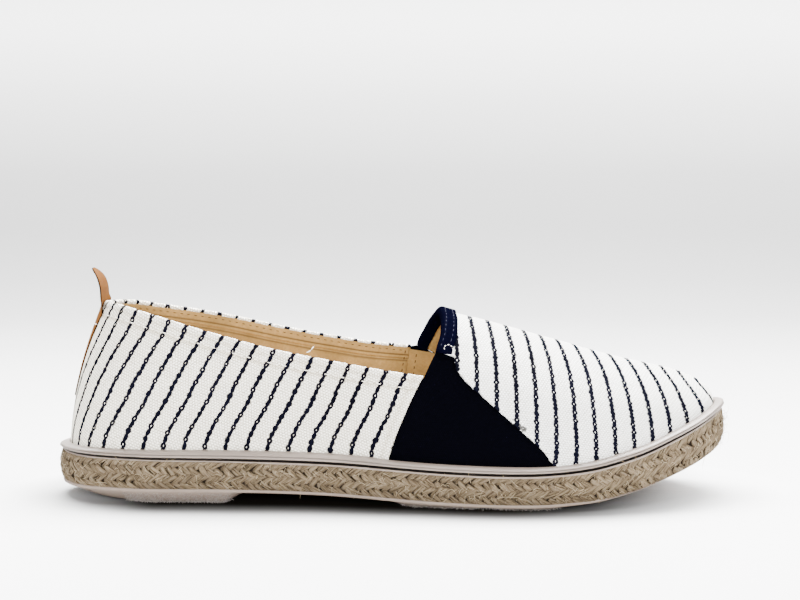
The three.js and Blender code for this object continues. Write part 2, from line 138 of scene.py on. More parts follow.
# Each light: name, place, aim and size in metres, power in watts, spread in degrees
for name, place, aim, size, power, spread in (
    ("rear_softbox", (0.0, 0.55, 1.1), (0.0, 0.0, 0.0), (1.4, 0.5), 75.0, 100),
    ("overhead_softbox", (0.0, 0.1, 1.4), (0.0, 0.0, 0.0), (0.7, 0.35), 16.0, 180),
    ("right_softbox", (0.9, 0.0, 1.0), (0.0, 0.0, 0.0), (0.6, 0.8), 44.0, 180),
    ("front_fill", (0.0, -1.6, 0.45), (0.0, 0.0, 0.05), (1.5, 0.6), 104.0, 180),
    ("backdrop_light", (0.0, 0.75, 1.6), (0.0, 1.1, 0.3), (2.6, 0.4), 34.0, 70),
):
    data = bpy.data.lights.new(name, "AREA")
    data.shape, data.size, data.size_y, data.energy = "RECTANGLE", *size, power
    data.spread = math.radians(spread)
    lamp = bpy.data.objects.new(name, data)
    lamp.location = place
    away = np.array(place) - np.array(aim)
    lamp.rotation_euler = (math.acos(away[2] / np.linalg.norm(away)), 0, math.atan2(away[0], -away[1]))
    bpy.context.scene.collection.objects.link(lamp)
world = bpy.data.worlds.new("studio_air")
world.use_nodes = True
world.node_tree.nodes["Background"].inputs["Color"].default_value = (1, 1, 1, 1)
world.node_tree.nodes["Background"].inputs["Strength"].default_value = 0.05
bpy.context.scene.world = world


# CONTACT SHADE
# The same paper just under the shoe, darkening to a soft contact shade. It follows the sole's outline, which is
# worked out here in millimetres from the heel's middle, and it belongs to the stage.

LENGTH, BALL_WIDTH = 290.0, 101.0
# Shift from the heel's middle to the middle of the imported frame, in millimetres
FRAME_SHIFT = [-LENGTH / 2, 1.2, 0]
# Outline of the sole at its widest, from the heel by the outer side to the toe and back: shares of length and width
OUTLINE = np.array([
    [0.000, 0.000], [0.035, -0.225], [0.120, -0.330], [0.240, -0.352], [0.380, -0.372],
    [0.520, -0.440], [0.655, -0.500], [0.780, -0.478], [0.880, -0.375], [0.958, -0.200],
    [1.000, 0.050], [0.968, 0.270], [0.895, 0.405], [0.790, 0.472], [0.680, 0.455],
    [0.550, 0.365], [0.420, 0.310], [0.280, 0.318], [0.130, 0.315], [0.040, 0.222]])
TOE_ROW = 10
# Plan of the shoe's middle line: share of length, share of width
MIDDLE_PLAN = [[0, 0], [0.21, 0], [0.565, -0.02], [0.79, 0.005], [1, 0.05]]
# Where the middle line starts and how far it runs under a plate, in shares of length
PLATE_START, PLATE_RUN = 0.11, 0.78


def along(table, place, column=1):
    """Smooth value of one column at a place along a table: a cubic between rows that never overshoots them."""
    table = np.asarray(table, float)
    xs, ys = table[:, 0], table[:, column]
    at = np.clip(place, xs[0], xs[-1])
    step = np.diff(xs)
    slope = np.diff(ys) / step
    same_way = slope[:-1] * slope[1:]
    both = np.where(same_way > 0, slope[:-1] + slope[1:], 1)
    tangent = np.concatenate([slope[:1], np.where(same_way > 0, 2 * same_way / both, 0), slope[-1:]])
    row = np.clip(np.searchsorted(xs, at, side="left") - 1, 0, len(xs) - 2)
    s = (at - xs[row]) / step[row]
    return (ys[row] * (1 + 2 * s) * (1 - s) ** 2 + tangent[row] * step[row] * s * (1 - s) ** 2
            + ys[row + 1] * s * s * (3 - 2 * s) + tangent[row + 1] * step[row] * s * s * (s - 1))


def closed_curve(points, steps=200):
    """Centripetal Catmull-Rom curve through a ring of points: a cubic from each point to the next."""
    back, here, ahead, beyond = (np.roll(points, 1 - k, 0) for k in range(4))
    first, middle, final = (np.linalg.norm(b - a, axis=1)[:, None] ** 0.5
                            for a, b in ((back, here), (here, ahead), (ahead, beyond)))
    leave = ((here - back) / first - (ahead - back) / (first + middle) + (ahead - here) / middle) * middle
    reach = ((ahead - here) / middle - (beyond - here) / (middle + final) + (beyond - ahead) / final) * middle
    t = np.linspace(0, 1, steps, endpoint=False)[None, :, None]
    a, b, c, d = (q[:, None, :] for q in (here, ahead, leave, reach))
    return (a + c * t + (3 * b - 3 * a - 2 * c - d) * t ** 2 + (2 * a - 2 * b + c + d) * t ** 3).reshape(-1, 2)


ring = closed_curve(OUTLINE * [LENGTH, BALL_WIDTH])
ring_way = np.roll(ring, -1, 0) - np.roll(ring, 1, 0)
ring, ring_way = np.vstack([ring, ring[:1]]), np.vstack([ring_way, ring_way[:1]])
paced = np.concatenate([[0], np.cumsum(np.linalg.norm(np.diff(ring, axis=0), axis=1))])
TOE, AROUND = paced[TOE_ROW * 200], paced[-1]


def rim(place, inset=0.0):
    """Plan point of the sole's outline, moved in by an inset. Place 0 is the heel, -1 the toe reached by the
    outer side and 1 the toe reached by the inner side."""
    s = np.where(place < 0, -place * TOE, AROUND - place * (AROUND - TOE))
    x, y, way_x, way_y = (np.interp(s, paced, table) for table in (*ring.T, *ring_way.T))
    pace = np.hypot(way_x, way_y)
    return x - way_y / pace * inset, y + way_x / pace * inset


def in_row(points):
    """Millimetres from the heel's middle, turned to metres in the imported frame."""
    return (np.asarray(points) + FRAME_SHIFT) / 1000


def plate_point(place, inset, share):
    """Plan point a share of the way from the middle line out to the outline."""
    reach = PLATE_START + PLATE_RUN * np.abs(place)
    out_x, out_y = rim(place, inset)
    return (reach * LENGTH * (1 - share) + out_x * share,
            along(MIDDLE_PLAN, reach) * BALL_WIDTH * (1 - share) + out_y * share)


def places_round(count):
    """Places from the toe by the outer side to the heel and by the inner side back to the toe."""
    return np.linspace(-1, 1, count, endpoint=False)


def round_shoe(name, grid, material, closed=False, **values):
    """Object from a grid of points whose rows run round the shoe; its section may close on itself too."""
    return mesh_object(name, in_row(grid).reshape(-1, 3), grid_faces(*grid.shape[:2], True, closed), material, **values)



# How dark the shade is by the distance in from the outline in millimetres, and by share of length: the sole lifts
# off the paper at both ends, and the shade fades with it
SHADE_FADE = [[-30, 0], [-24, 0.12], [-18, 0.4], [-13, 0.7], [-9, 0.87], [-5, 0.94], [0, 0.97], [5, 1], [10, 1]]
SHADE_ALONG = [[0, 0.35], [0.08, 0.75], [0.16, 1], [0.66, 1], [0.76, 0.9], [0.86, 0.62], [0.94, 0.3], [1, 0.1]]
SHADE_HEIGHT = 0.02
shaded_paper, tree, shader = finish_of("studio_paper_with_painted_shade", Roughness=0.95, Specular_IOR_Level=0.0)
# Matt paper again, with a painted contact shadow: its pale tone goes over to a near black where hardly any light gets
# in.
hush = add(tree, "Attribute", attribute_name="hush", out=2)
tree.links.new(add(tree, "Mix", {0: hush, 6: (0.66, 0.66, 0.66, 1), 7: (0.006, 0.005, 0.004, 1)}, out=2,
                   data_type="RGBA"), shader.inputs["Base Color"])
inset = np.array([-30.0, -26, -22, -18, -15, -12, -9, -7, -5, -3, -1, 1, 3, 6, 10])
fade = along(SHADE_FADE, inset)
place = places_round(240)[:, None]
inset = np.where(place > 0, np.minimum(inset * 0.5, inset), inset)
x, y = plate_point(place, inset, np.ones(fade.size))
hush = fade * along(SHADE_ALONG, x / LENGTH)
middle_x, middle_y = plate_point(place, 9.0, np.zeros(1))
patch = np.stack(np.broadcast_arrays(np.concatenate([x, middle_x], 1), np.concatenate([y, middle_y], 1),
                                     SHADE_HEIGHT), -1)
contact = round_shoe("contact_shade", patch, shaded_paper, hush=np.concatenate([hush, hush[:, -1:]], 1))


# OUTSOLE
# Moulded rubber skin under the braid, with a heel pad and a forefoot pad that touch the floor. The pads
# are flocked with short fibres underneath, and the arch between them stays clear.

TOE_SPRING, HEEL_PAD, FOREFOOT_PAD, PAD_INSET, SKIN_INSET = 18.8, 7.0, 3.2, 9.0, 1.4
MIDSOLE_THICKNESS, MIDSOLE_TOE_THICKNESS, GAP, OUTSOLE_EDGE = 13.0, 2.3, 0.3, 1.2
# Reach of the flock under each pad, and a distance between the two pads, from the heel
HEEL_FLOCK, FOREFOOT_FLOCK, BETWEEN_PADS = (31, 77), (148, 214), 140
# Underside of the midsole: share of length, blend to the heel pad's height, share of the toe spring
BOTTOM_LINE = [[0, 1, 0], [0.23, 1, 0], [0.397, 0.79, 0], [0.576, 0.13, 0], [0.69, 0, 0],
               [0.779, 0, 0.075], [0.848, 0, 0.277], [0.917, 0, 0.596], [1, 0, 1]]
# Share of length, and lift from the floor up to a thin skin under the midsole; the forefoot pad flexes at a hollow
PAD_LIFT = [[0, 1], [0.03, 0.75], [0.09, 0.2], [0.16, 0], [0.25, 0], [0.295, 1], [0.48, 1], [0.53, 0], [0.61, 0],
            [0.635, 0.35], [0.66, 0], [0.71, 0], [0.775, 1], [1, 1]]


def midsole_bottom(x):
    """Height of the midsole's underside at a distance from the heel."""
    pad = FOREFOOT_PAD + (HEEL_PAD - FOREFOOT_PAD) * along(BOTTOM_LINE, x / LENGTH)
    return pad + TOE_SPRING * along(BOTTOM_LINE, x / LENGTH, 2)


def midsole_top(x):
    """Height of the midsole's top: its underside, its thickness, and a little more round the toe."""
    toe = np.clip((x / LENGTH - 0.845) / 0.155, 0, 1)
    return midsole_bottom(x) + MIDSOLE_THICKNESS + MIDSOLE_TOE_THICKNESS * toe ** 1.5


def pad_fall(share):
    """How far a pad's rounded side has come down at a share of the way in: nearly a quarter of a sine."""
    return np.sin(np.clip(share, 0, 1) * math.pi / 2) ** 0.9


rubber, tree, shader = finish_of("moulded_sole_rubber", Roughness=0.7, IOR=1.5, Specular_IOR_Level=0.2)
# Thermoplastic rubber, moulded: even warm grey with a faint pebble from the mould, and a grey felt of short fibres
# glued under the pads.
where = add(tree, "TexCoord", out=3)
cloud = add(tree, "TexNoise", {0: where, "Scale": 60.0, "Detail": 4.0})
pebble = add(tree, "TexNoise", {0: where, "Scale": 1400.0, "Detail": 2.0})
tint = add(tree, "Mix", {0: cloud, 6: linear("#66594F"), 7: linear("#807369")}, out=2, data_type="RGBA")
felt = add(tree, "Mix", {0: pebble, 6: linear("#484340"), 7: linear("#696461")}, out=2, data_type="RGBA")
flocked = add(tree, "Attribute", attribute_name="flock", out=2)
tree.links.new(add(tree, "Mix", {0: flocked, 6: tint, 7: felt}, out=2, data_type="RGBA"), shader.inputs["Base Color"])
tree.links.new(add(tree, "Bump", {"Strength": 0.3, "Distance": 0.0003, "Height": pebble}), shader.inputs["Normal"])

place = places_round(360)[:, None]
under = np.linspace(0, 1, 12)
# Columns: five across the top face, one on the edge, twelve down the pad's rounded side, six across the underside
inset = np.concatenate([np.full(5, SKIN_INSET), [1.2], SKIN_INSET + (PAD_INSET - SKIN_INSET) * under,
                        np.full(6, PAD_INSET)])
# Round the toe the rubber is tucked further in under the braid.
inset = inset + along([[0.74, 0], [0.84, 1.4], [1, 1.7]], rim(place)[0] / LENGTH)
share = np.concatenate([[0, 0.5, 0.9, 0.99, 1.0], [1.0], np.ones(12), [0.95, 0.8, 0.6, 0.4, 0.2, 0.0]])
fall = np.concatenate([np.zeros(6), pad_fall(under), np.ones(6)])
x, y = plate_point(place, inset, share)
column = np.arange(24) + 0 * x
skin_top = midsole_bottom(x) - GAP
skin_edge = skin_top - OUTSOLE_EDGE
pad_low = skin_edge * along(PAD_LIFT, x / LENGTH)
z = np.where(column < 5, skin_top, np.where(column == 5, skin_top - OUTSOLE_EDGE / 2,
                                            skin_edge + (pad_low - skin_edge) * fall))
flock = (np.clip((column - 11) / 4, 0, 1) * (1 - along(PAD_LIFT, x / LENGTH))
         * np.clip((x - HEEL_FLOCK[0]) / 7, 0, 1) * np.where(x > BETWEEN_PADS, 0.2, 1))
outsole = round_shoe("outsole_dressed", np.stack([x, y, z], -1), rubber, flock=flock)
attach(outsole, "root")
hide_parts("outsole")


def tube(name, paths, radius, material, sides=6, **values):
    """Round thread along each path of points, with its radius given per point and both ends closed to a point."""
    paths = np.asarray(paths, float)
    count, length = paths.shape[:2]
    way = np.gradient(paths, axis=1)
    way /= np.linalg.norm(way, axis=2, keepdims=True) + 1e-12
    aid = np.where(np.abs(way[..., 2:]) > 0.8, [1.0, 0, 0], [0, 0, 1.0])
    one = np.cross(way, aid)
    one /= np.linalg.norm(one, axis=2, keepdims=True) + 1e-12
    two = np.cross(way, one)
    turn = np.linspace(0, 2 * math.pi, sides, endpoint=False)[None, None, :, None]
    radius = np.array(np.broadcast_to(radius, (count, length)))
    radius[:, [0, -1]] = 0
    points = paths[:, :, None] + radius[..., None, None] * (
        np.cos(turn) * one[:, :, None] + np.sin(turn) * two[:, :, None])
    cell = grid_faces(length, sides, loop_columns=True)
    faces = (cell[None] + (np.arange(count) * length * sides)[:, None, None]).reshape(-1, 4)
    run = np.cumsum(np.linalg.norm(np.diff(paths, axis=1, prepend=paths[:, :1]), axis=2), axis=1) * 1000
    uv = np.stack(np.broadcast_arrays(run[:, :, None], np.arange(sides) / sides * 2.0), -1)
    return mesh_object(name, points.reshape(-1, 3), faces, material, uv=uv.reshape(-1, 2), merge=1e-7, **values)


felt_fibre, tree, shader = finish_of("short_felt_fibres", Roughness=0.95, IOR=1.45, Specular_IOR_Level=0.0)
# Loose fibre ends of the felt under the pads: pale grey and matt.
shader.inputs["Base Color"].default_value = linear("#8A837E")
rng = np.random.default_rng(11)
fibre_count = 4600
ahead = np.where(rng.uniform(size=fibre_count) < 0.75, rng.uniform(*HEEL_FLOCK, fibre_count),
                 rng.uniform(*FOREFOOT_FLOCK, fibre_count))
side = rng.choice([-1, 1], fibre_count)
guess = np.linspace(0, 1, 2001)
root_place = side * np.where(side < 0, np.interp(ahead, rim(-guess)[0], guess),
                             np.interp(ahead, rim(guess)[0], guess))
depth_in = rng.uniform(1.8, 9.5, fibre_count)
root_x, root_y = rim(root_place, depth_in)
root_edge = midsole_bottom(root_x) - GAP - OUTSOLE_EDGE
root_low = root_edge * along(PAD_LIFT, root_x / LENGTH)
root_fall = pad_fall((depth_in - SKIN_INSET) / (PAD_INSET - SKIN_INSET))
root = np.stack([root_x, root_y, root_edge + (root_low - root_edge) * root_fall + 0.1], -1)
out_x, out_y = rim(root_place, depth_in - 1)
outward = np.stack([out_x - root_x, out_y - root_y, np.zeros(fibre_count)], -1)
aim = outward * rng.uniform(0.3, 1.0, (fibre_count, 1)) + rng.normal(0, 0.45, (fibre_count, 3)) * [1, 1, 0.3]
aim[:, 2] -= 0.35
t = np.linspace(0, 1, 4)[None, :, None]
fibres = root[:, None] + aim[:, None] * t * rng.uniform(0.6, 1.5, (fibre_count, 1, 1))
fibres[..., 2] = np.maximum(fibres[..., 2], 0.06)
felt_ends = tube("sole_felt_fibres", in_row(fibres), 0.00007, felt_fibre, sides=3)
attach(felt_ends, "root")


# JUTE MIDSOLE
# Four-row braid of unspun jute wound round a fibre core. Neighbouring rows slant opposite ways, so the side
# reads as herringbone. A pale selvedge closes its top edge, and loose fibres stand out of it.

MIDSOLE_BULGE_DEPTH = 1.4
# Share of length: how far the braid's top edge and the welt's lip lie below the midsole's top, in millimetres
LIP_DROP = [[0, -0.1], [0.1, 0.4], [0.3, 0.9], [0.5, 0.85], [0.63, 1.0], [0.75, 0.75], [0.81, 0.1],
            [0.875, -0.35], [0.94, -0.2], [1, 0]]
jute, tree, shader = finish_of("braided_jute", Roughness=0.95, IOR=1.45, Specular_IOR_Level=0.05)
# Raw jute, retted and dried: dull straw strands with fibres along them, and painted shade in dark brown down in the
# gaps.
# Fibres are drawn about 0.8 mm wide, as bundles, several times coarser than single ones, so that they show.
fibre_uv = add(tree, "UVMap", uv_map="cloth")
fibres = add(tree, "TexNoise", {0: add(tree, "Mapping", {0: fibre_uv, 3: (0.13, 1.25, 1.0)}), "Scale": 1.0,
                                "Detail": 5.0, "Roughness": 0.75, "Distortion": 0.3})
patch = add(tree, "TexNoise", {0: add(tree, "TexCoord", out=3), "Scale": 170.0, "Detail": 3.0})
straw = add(tree, "ValToRGB", [add(tree, "MapRange", [fibres, 0.37, 0.63, 0.0, 1.0])])
ramp = straw.node.color_ramp
ramp.elements[0].color, ramp.elements[1].color = linear("#201C16"), linear("#736858")
for stop, tone in ((0.3, "#584C3A"), (0.6, "#746550")):
    ramp.elements.new(stop).color = linear(tone)
aged = add(tree, "Mix", {0: add(tree, "MapRange", [patch, 0.35, 0.75, 0.0, 0.55]), 6: straw,
                         7: linear("#483C2F")}, out=2, data_type="RGBA")
# Painted shade: the depth value mixes the straw towards dark brown in the gaps, on the strands' edges and over the
# core.
low = add(tree, "Attribute", attribute_name="depth", out=2)
tree.links.new(add(tree, "Mix", {0: low, 6: aged, 7: linear("#1F1912")}, out=2, data_type="RGBA"),
               shader.inputs["Base Color"])
tree.links.new(add(tree, "Bump", {"Strength": 1.0, "Distance": 0.0014, "Height": fibres}), shader.inputs["Normal"])


def braid_side(place, level, lift):
    """Point of the braid's side: the outline let in towards top and bottom by a swell, then moved out by a lift."""
    swell = MIDSOLE_BULGE_DEPTH * np.abs(2 * level - 1) ** 2.2
    x, y = rim(place, swell - lift)
    low, high = midsole_bottom(x), midsole_top(x) - along(LIP_DROP, x / LENGTH) - 0.4
    return np.stack([x, y, low + (high - low) * level], -1)


core_levels = np.concatenate([[0.97], np.linspace(0.97, 0, 9), [0.0]])
core_share = np.concatenate([[0.0], np.ones(9), [0.0]])
place = places_round(240)[:, None]
side = braid_side(place, core_levels, -1.1)
mid_x, mid_y = plate_point(place, 3.0, 0.0 * core_share)
centre = np.stack([mid_x, mid_y, np.where(core_levels > 0.5, midsole_top(mid_x), midsole_bottom(mid_x))], -1)
body = np.where(core_share[None, :, None] > 0, side, centre)
# The core is painted dark brown all over as shade: it shows only in the gaps between strands.
core = round_shoe("jute_core", body, jute, uv=body.reshape(-1, 3)[:, [0, 2]], depth=np.ones(body.shape[:2]))
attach(core, "root")
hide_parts("jute_midsole")

rng = np.random.default_rng(5)
STRAND_PITCH, STRAND_ROWS, BRAID_LOW, BRAID_HIGH = 3.4, 4, -0.085, 0.955
per_row = int(round(AROUND / STRAND_PITCH))
row, turn = (q.ravel() for q in np.meshgrid(np.arange(STRAND_ROWS), np.arange(per_row), indexing="ij"))
slant = np.where(row % 2 == 0, -1.0, 1.0)
centre_s = (turn + 0.5 * (row % 2) + rng.normal(0, 0.07, row.size)) * AROUND / per_row
centre_l = BRAID_LOW + (BRAID_HIGH - BRAID_LOW) * (row + 0.5) / STRAND_ROWS + rng.normal(0, 0.014, row.size)
SIDE = 9
CELL = SIDE * SIDE
# Every strand is a square grid of points: a runs along it and b across it, both from -1 to 1.
a, b = np.meshgrid(np.linspace(-1, 1, SIDE), np.linspace(-1, 1, SIDE), indexing="ij")
half_width = 1.4 * (1 - 0.45 * a ** 4) * rng.uniform(0.85, 1.12, row.size)[:, None, None]
half_length = rng.uniform(3.2, 4.3, row.size)[:, None, None]
angle = (math.radians(38) + rng.normal(0, 0.13, row.size))[:, None, None] * slant[:, None, None]
bow = rng.uniform(0.2, 0.8, row.size)[:, None, None] * (1 - a ** 2) * slant[:, None, None]
u, v = a * half_length, b * half_width + bow
ds, dl = u * np.cos(angle) - v * np.sin(angle), u * np.sin(angle) + v * np.cos(angle)
s = (centre_s[:, None, None] + ds) % AROUND
place = np.where(s <= TOE, -s / TOE, (AROUND - s) / (AROUND - TOE))
level = np.clip(centre_l[:, None, None] + dl / MIDSOLE_THICKNESS, BRAID_LOW, BRAID_HIGH)
bundles = 0.1 * np.cos(b * 3 * math.pi + rng.uniform(-1, 1, row.size)[:, None, None] + 1.2 * a)
rise = 0.7 * np.clip(1 - b ** 2, 0, 1) ** 0.6 * (1 - 0.6 * np.abs(a) ** 2.5) + bundles * (1 - b ** 2)
dive = 0.42 * a * slant[:, None, None]
lift = -0.75 + rise + dive + rng.uniform(-0.16, 0.16, row.size)[:, None, None]
strands = in_row(braid_side(place, level, lift)).reshape(-1, CELL, 3)
# A fan from one point inside closes the back of each strand.
inmost = (slice(None), SIDE // 2, SIDE // 2)
root = in_row(braid_side(place[inmost], level[inmost], lift[inmost] - 1.3))[:, None]
number = np.arange(CELL).reshape(SIDE, SIDE)
hem = np.concatenate([number[0], number[1:, -1], number[-1, -2::-1], number[-2:0:-1, 0]])
fan = np.stack([np.full(hem.size // 2, CELL), np.roll(hem, -2)[::2], hem[1::2], hem[::2]], -1)
cell = np.concatenate([grid_faces(SIDE, SIDE), fan])
faces = (cell[None] + (np.arange(row.size) * (CELL + 1))[:, None, None]).reshape(-1, 4)
fibre = np.stack(np.broadcast_arrays(u + rng.uniform(0, 90, row.size)[:, None, None],
                                     v + rng.uniform(0, 90, row.size)[:, None, None]), -1).reshape(-1, CELL, 2)
# Painted shade on each strand: darker along its edges and at the end where it dives under its neighbour.
shade = np.clip(0.9 * np.abs(b) ** 5 + 0.6 * np.clip(a * -slant[:, None, None], 0, 1) ** 4
                + rng.uniform(-0.1, 0.22, row.size)[:, None, None], 0, 0.85).reshape(-1, CELL)
braid = mesh_object("jute_braid", np.concatenate([strands, root], 1).reshape(-1, 3), faces, jute,
                    uv=np.concatenate([fibre, fibre[:, :1]], 1).reshape(-1, 2), merge=0,
                    depth=np.concatenate([shade, shade[:, :1]], 1))
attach(braid, "root")

selvedge, tree, shader = finish_of("cotton_selvedge_tape", Roughness=0.95, IOR=1.45, Specular_IOR_Level=0.05)
# Bleached cotton tape folded over the braid's top edge: a thin pale line, a little soiled.
soil = add(tree, "TexNoise", {0: add(tree, "TexCoord", out=3), "Scale": 240.0, "Detail": 4.0})
tree.links.new(add(tree, "Mix", {0: soil, 6: linear("#60544B"), 7: linear("#847971")}, out=2, data_type="RGBA"),
               shader.inputs["Base Color"])
tree.links.new(add(tree, "Bump", {"Strength": 0.5, "Distance": 0.0003, "Height": soil}), shader.inputs["Normal"])
places = places_round(700)
angles = np.linspace(0, 2 * math.pi, 8, endpoint=False)
# The tape lies bare from 100 mm ahead of the heel and slips under the braid's edge behind that.
bare = along([[70, 0], [115, 1], [240, 1], [275, 0.4]], rim(places)[0])[:, None]
edge_x, edge_y = rim(places[:, None], 1.9 - 0.75 * bare - 0.5 * np.cos(angles))
edge_z = braid_side(places, np.full(700, BRAID_HIGH), 0.05)[:, 2:] + 0.08 + 0.42 * np.sin(angles)
tape = round_shoe("selvedge", np.stack([edge_x, edge_y, edge_z], -1), selvedge, closed=True)
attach(tape, "root")

straggler, tree, shader = finish_of("loose_jute_fibre", Roughness=0.95, IOR=1.45, Specular_IOR_Level=0.05)
# Single fibres sprung out of the strands: paler than the braid. Drawn 0.2 mm thick, twice their own size.
shader.inputs["Base Color"].default_value = linear("#8F8169")
hair_count, toe_count, sprung_count = 800, 26, 60
hair_s = rng.uniform(0, AROUND, hair_count)
hair_s[:toe_count] = TOE + rng.normal(0, 14, toe_count)
hair_place = np.where(hair_s <= TOE, -hair_s / TOE, (AROUND - hair_s) / (AROUND - TOE))
hair_root = braid_side(hair_place, rng.uniform(0.0, 0.95, hair_count), 0.0)
out_x, out_y = rim(hair_place, -1.0)
in_x, in_y = rim(hair_place, 0.0)
outward = np.stack([out_x - in_x, out_y - in_y, np.zeros(hair_count)], -1)[:, None]
runway = np.stack([-outward[:, 0, 1], outward[:, 0, 0], np.zeros(hair_count)], -1)[:, None]
t = np.linspace(0, 1, 11)[None, :, None]
length = rng.uniform(1.5, 4.5, hair_count)[:, None, None]
length[:toe_count] = rng.uniform(3.5, 8.0, toe_count)[:, None, None]
lift_off = np.where(np.arange(hair_count) < sprung_count, 0.3, 0.06)[:, None, None]
curl = rng.normal(0, 1, (hair_count, 3))[:, None, :]
# Each fibre leaves the braid, runs along it and swings up or down in a loose curl.
swing = np.sin(t * 4.5 + curl[..., 2:]) - np.sin(curl[..., 2:])
hairs = hair_root[:, None] + length * (lift_off * (t + 0.5 * swing) * outward + curl[..., :1] * 0.8 * t * runway
                                       + np.array([0, 0, 1.0]) * (0.5 * curl[..., 1:2] * t ** 2 + 0.2 * swing))
hairs[..., 2] = np.maximum(hairs[..., 2], 0.3)
loose = tube("jute_loose_fibres", in_row(hairs), 0.0001 * (1.1 - t[..., 0]), straggler, sides=4)
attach(loose, "root")


# LAST AND FOOTBED
# The upper takes its form from the last. The footbed is a thin board covered in the same tan cloth as the lining,
# a little cupped along its edge, and bare.

INSTEP_HEIGHT, HEEL_HEIGHT, UPPER_INSET, UPPER_WALL, INSOLE_THICKNESS = 64.0, 64.0, 4.5, 2.2, 3.0
# Where the crest starts and how far it runs, in shares of length
CREST_START, CREST_RUN = 0.21, 0.697
# Crest of the last, running on above the open collar: share of length, share of the instep's height
CREST = [[0, 1.656], [0.14, 1.656], [0.245, 1.578], [0.383, 1.355], [0.486, 1.153], [0.571, 0.985],
         [0.64, 0.912], [0.71, 0.823], [0.779, 0.712], [0.848, 0.57], [0.905, 0.43], [0.952, 0.3], [1, 0.185]]
# Fullness of a rib from feather to crest: share along the side, exponent of the rib's curve
FULLNESS = [[0, 1.68], [0.15, 1.75], [0.35, 2.1], [0.7, 2.1], [0.85, 2.3], [1, 2.9]]
# Top edge of the quarters: share of length, share of the heel's height on the outer and on the inner side
COLLAR = [[0, 1, 1], [0.085, 0.99, 0.992], [0.15, 0.925, 0.945], [0.235, 0.815, 0.88], [0.33, 0.71, 0.793],
          [0.41, 0.65, 0.737], [0.47, 0.617, 0.708], [0.54, 0.592, 0.698]]


def outness(place, up):
    """Share of the way out from the middle line to the feather edge, at a share up the rib."""
    return np.clip(np.cos(up * math.pi / 2), 0, 1) ** (2 / along(FULLNESS, np.abs(place)))


def last(place, up):
    """Face of the last: each rib leaves the feather edge and rises to the crest as a quarter of a full ellipse."""
    place, up = np.broadcast_arrays(np.asarray(place, float), np.asarray(up, float))
    out = outness(place, up)
    rise = np.clip(np.sin(up * math.pi / 2), 0, 1) ** (2 / along(FULLNESS, np.abs(place)))
    reach = CREST_START + CREST_RUN * np.abs(place)
    out_x, out_y = rim(place, UPPER_INSET)
    x = reach * LENGTH * (1 - out) + out_x * out
    y = along(MIDDLE_PLAN, reach) * BALL_WIDTH * (1 - out) + out_y * out
    low = midsole_top(x) + GAP
    high = midsole_top(x) + INSTEP_HEIGHT * along(CREST, x / LENGTH)
    return np.stack([x, y, low + (high - low) * rise], -1)


def axes(place, up):
    """Unit directions on the last: towards the toe, up the rib, and out of the face."""
    place, up = np.broadcast_arrays(np.asarray(place, float), np.asarray(up, float))
    step = 1e-3
    height = np.clip(up, 2 * step, 1 - step)
    wrap = lambda p: np.where(p > 1, p - 2, np.where(p < -1, p + 2, p))
    ahead = last(wrap(place + step), height) - last(wrap(place - step), height)
    rise = last(place, height + step) - last(place, height - step)
    out = np.cross(rise, ahead)
    unit = lambda q: q / (np.linalg.norm(q, axis=-1, keepdims=True) + 1e-12)
    return unit(ahead) * np.where(place < 0, -1, 1)[..., None], unit(rise), unit(out)


def skin(place, up, depth=0.0, rise=0.0, forward=0.0):
    """Point of the last moved out by a depth, up its rib by a rise and towards the toe, in millimetres."""
    ahead, above, out = axes(place, up)
    crest = np.asarray(np.broadcast_to(up, out.shape[:-1]) > 0.999)[..., None]
    mirrored = axes(-np.asarray(place, float), up)[2]
    blend = out + mirrored
    out = np.where(crest, blend / (np.linalg.norm(blend, axis=-1, keepdims=True) + 1e-12), out)
    spread = lambda q: np.asarray(q, float)[..., None]
    return last(place, up) + out * spread(depth) + above * spread(rise) + ahead * spread(forward)


def share_at(place, reached):
    """Share up the rib where a height test first fails, found by halving."""
    low, high = np.zeros(np.shape(place)), np.ones(np.shape(place))
    for _ in range(30):
        middle = (low + high) / 2
        below = reached(last(place, middle))
        low, high = np.where(below, middle, low), np.where(below, high, middle)
    return (low + high) / 2


def at_height(place, height):
    """Share up the rib at a height above the feather edge."""
    return share_at(place, lambda p: p[..., 2] - midsole_top(p[..., 0]) - GAP < height)


def collar_share(place):
    """Share up the rib at the collar's edge."""
    edge = lambda x: HEEL_HEIGHT * np.where(np.asarray(place) < 0, along(COLLAR, x / LENGTH, 1),
                                            along(COLLAR, x / LENGTH, 2))
    return share_at(place, lambda p: p[..., 2] - midsole_top(p[..., 0]) < edge(p[..., 0]))


tan_cloth, tree, shader = finish_of("brushed_lining_cloth", Roughness=0.95, IOR=1.45, Specular_IOR_Level=0.04)
# Brushed microfibre, dyed tan: soft nap with faint cloudy wear and a fine pore grain.
where = add(tree, "TexCoord", out=3)
nap = add(tree, "TexNoise", {0: where, "Scale": 900.0, "Detail": 3.0})
wear = add(tree, "TexNoise", {0: where, "Scale": 90.0, "Detail": 5.0})
warm = add(tree, "Mix", {0: add(tree, "MapRange", [wear, 0.3, 0.7, 0.0, 1.0]), 6: linear("#7C633B"),
                         7: linear("#9E7E4D")}, out=2, data_type="RGBA")
napped = add(tree, "Mix", {0: add(tree, "MapRange", [nap, 0.3, 0.7, 0.0, 0.4]), 6: warm,
                           7: linear("#6F542D")}, out=2, data_type="RGBA")
# Painted shade: the seam value turns the cloth near black along the lining's creases.
tree.links.new(add(tree, "Mix", {0: add(tree, "Attribute", attribute_name="seam", out=2), 6: napped,
                                 7: linear("#2D1B0B")}, out=2, data_type="RGBA"), shader.inputs["Base Color"])
tree.links.new(add(tree, "Bump", {"Strength": 0.3, "Distance": 0.0002, "Height": nap}), shader.inputs["Normal"])

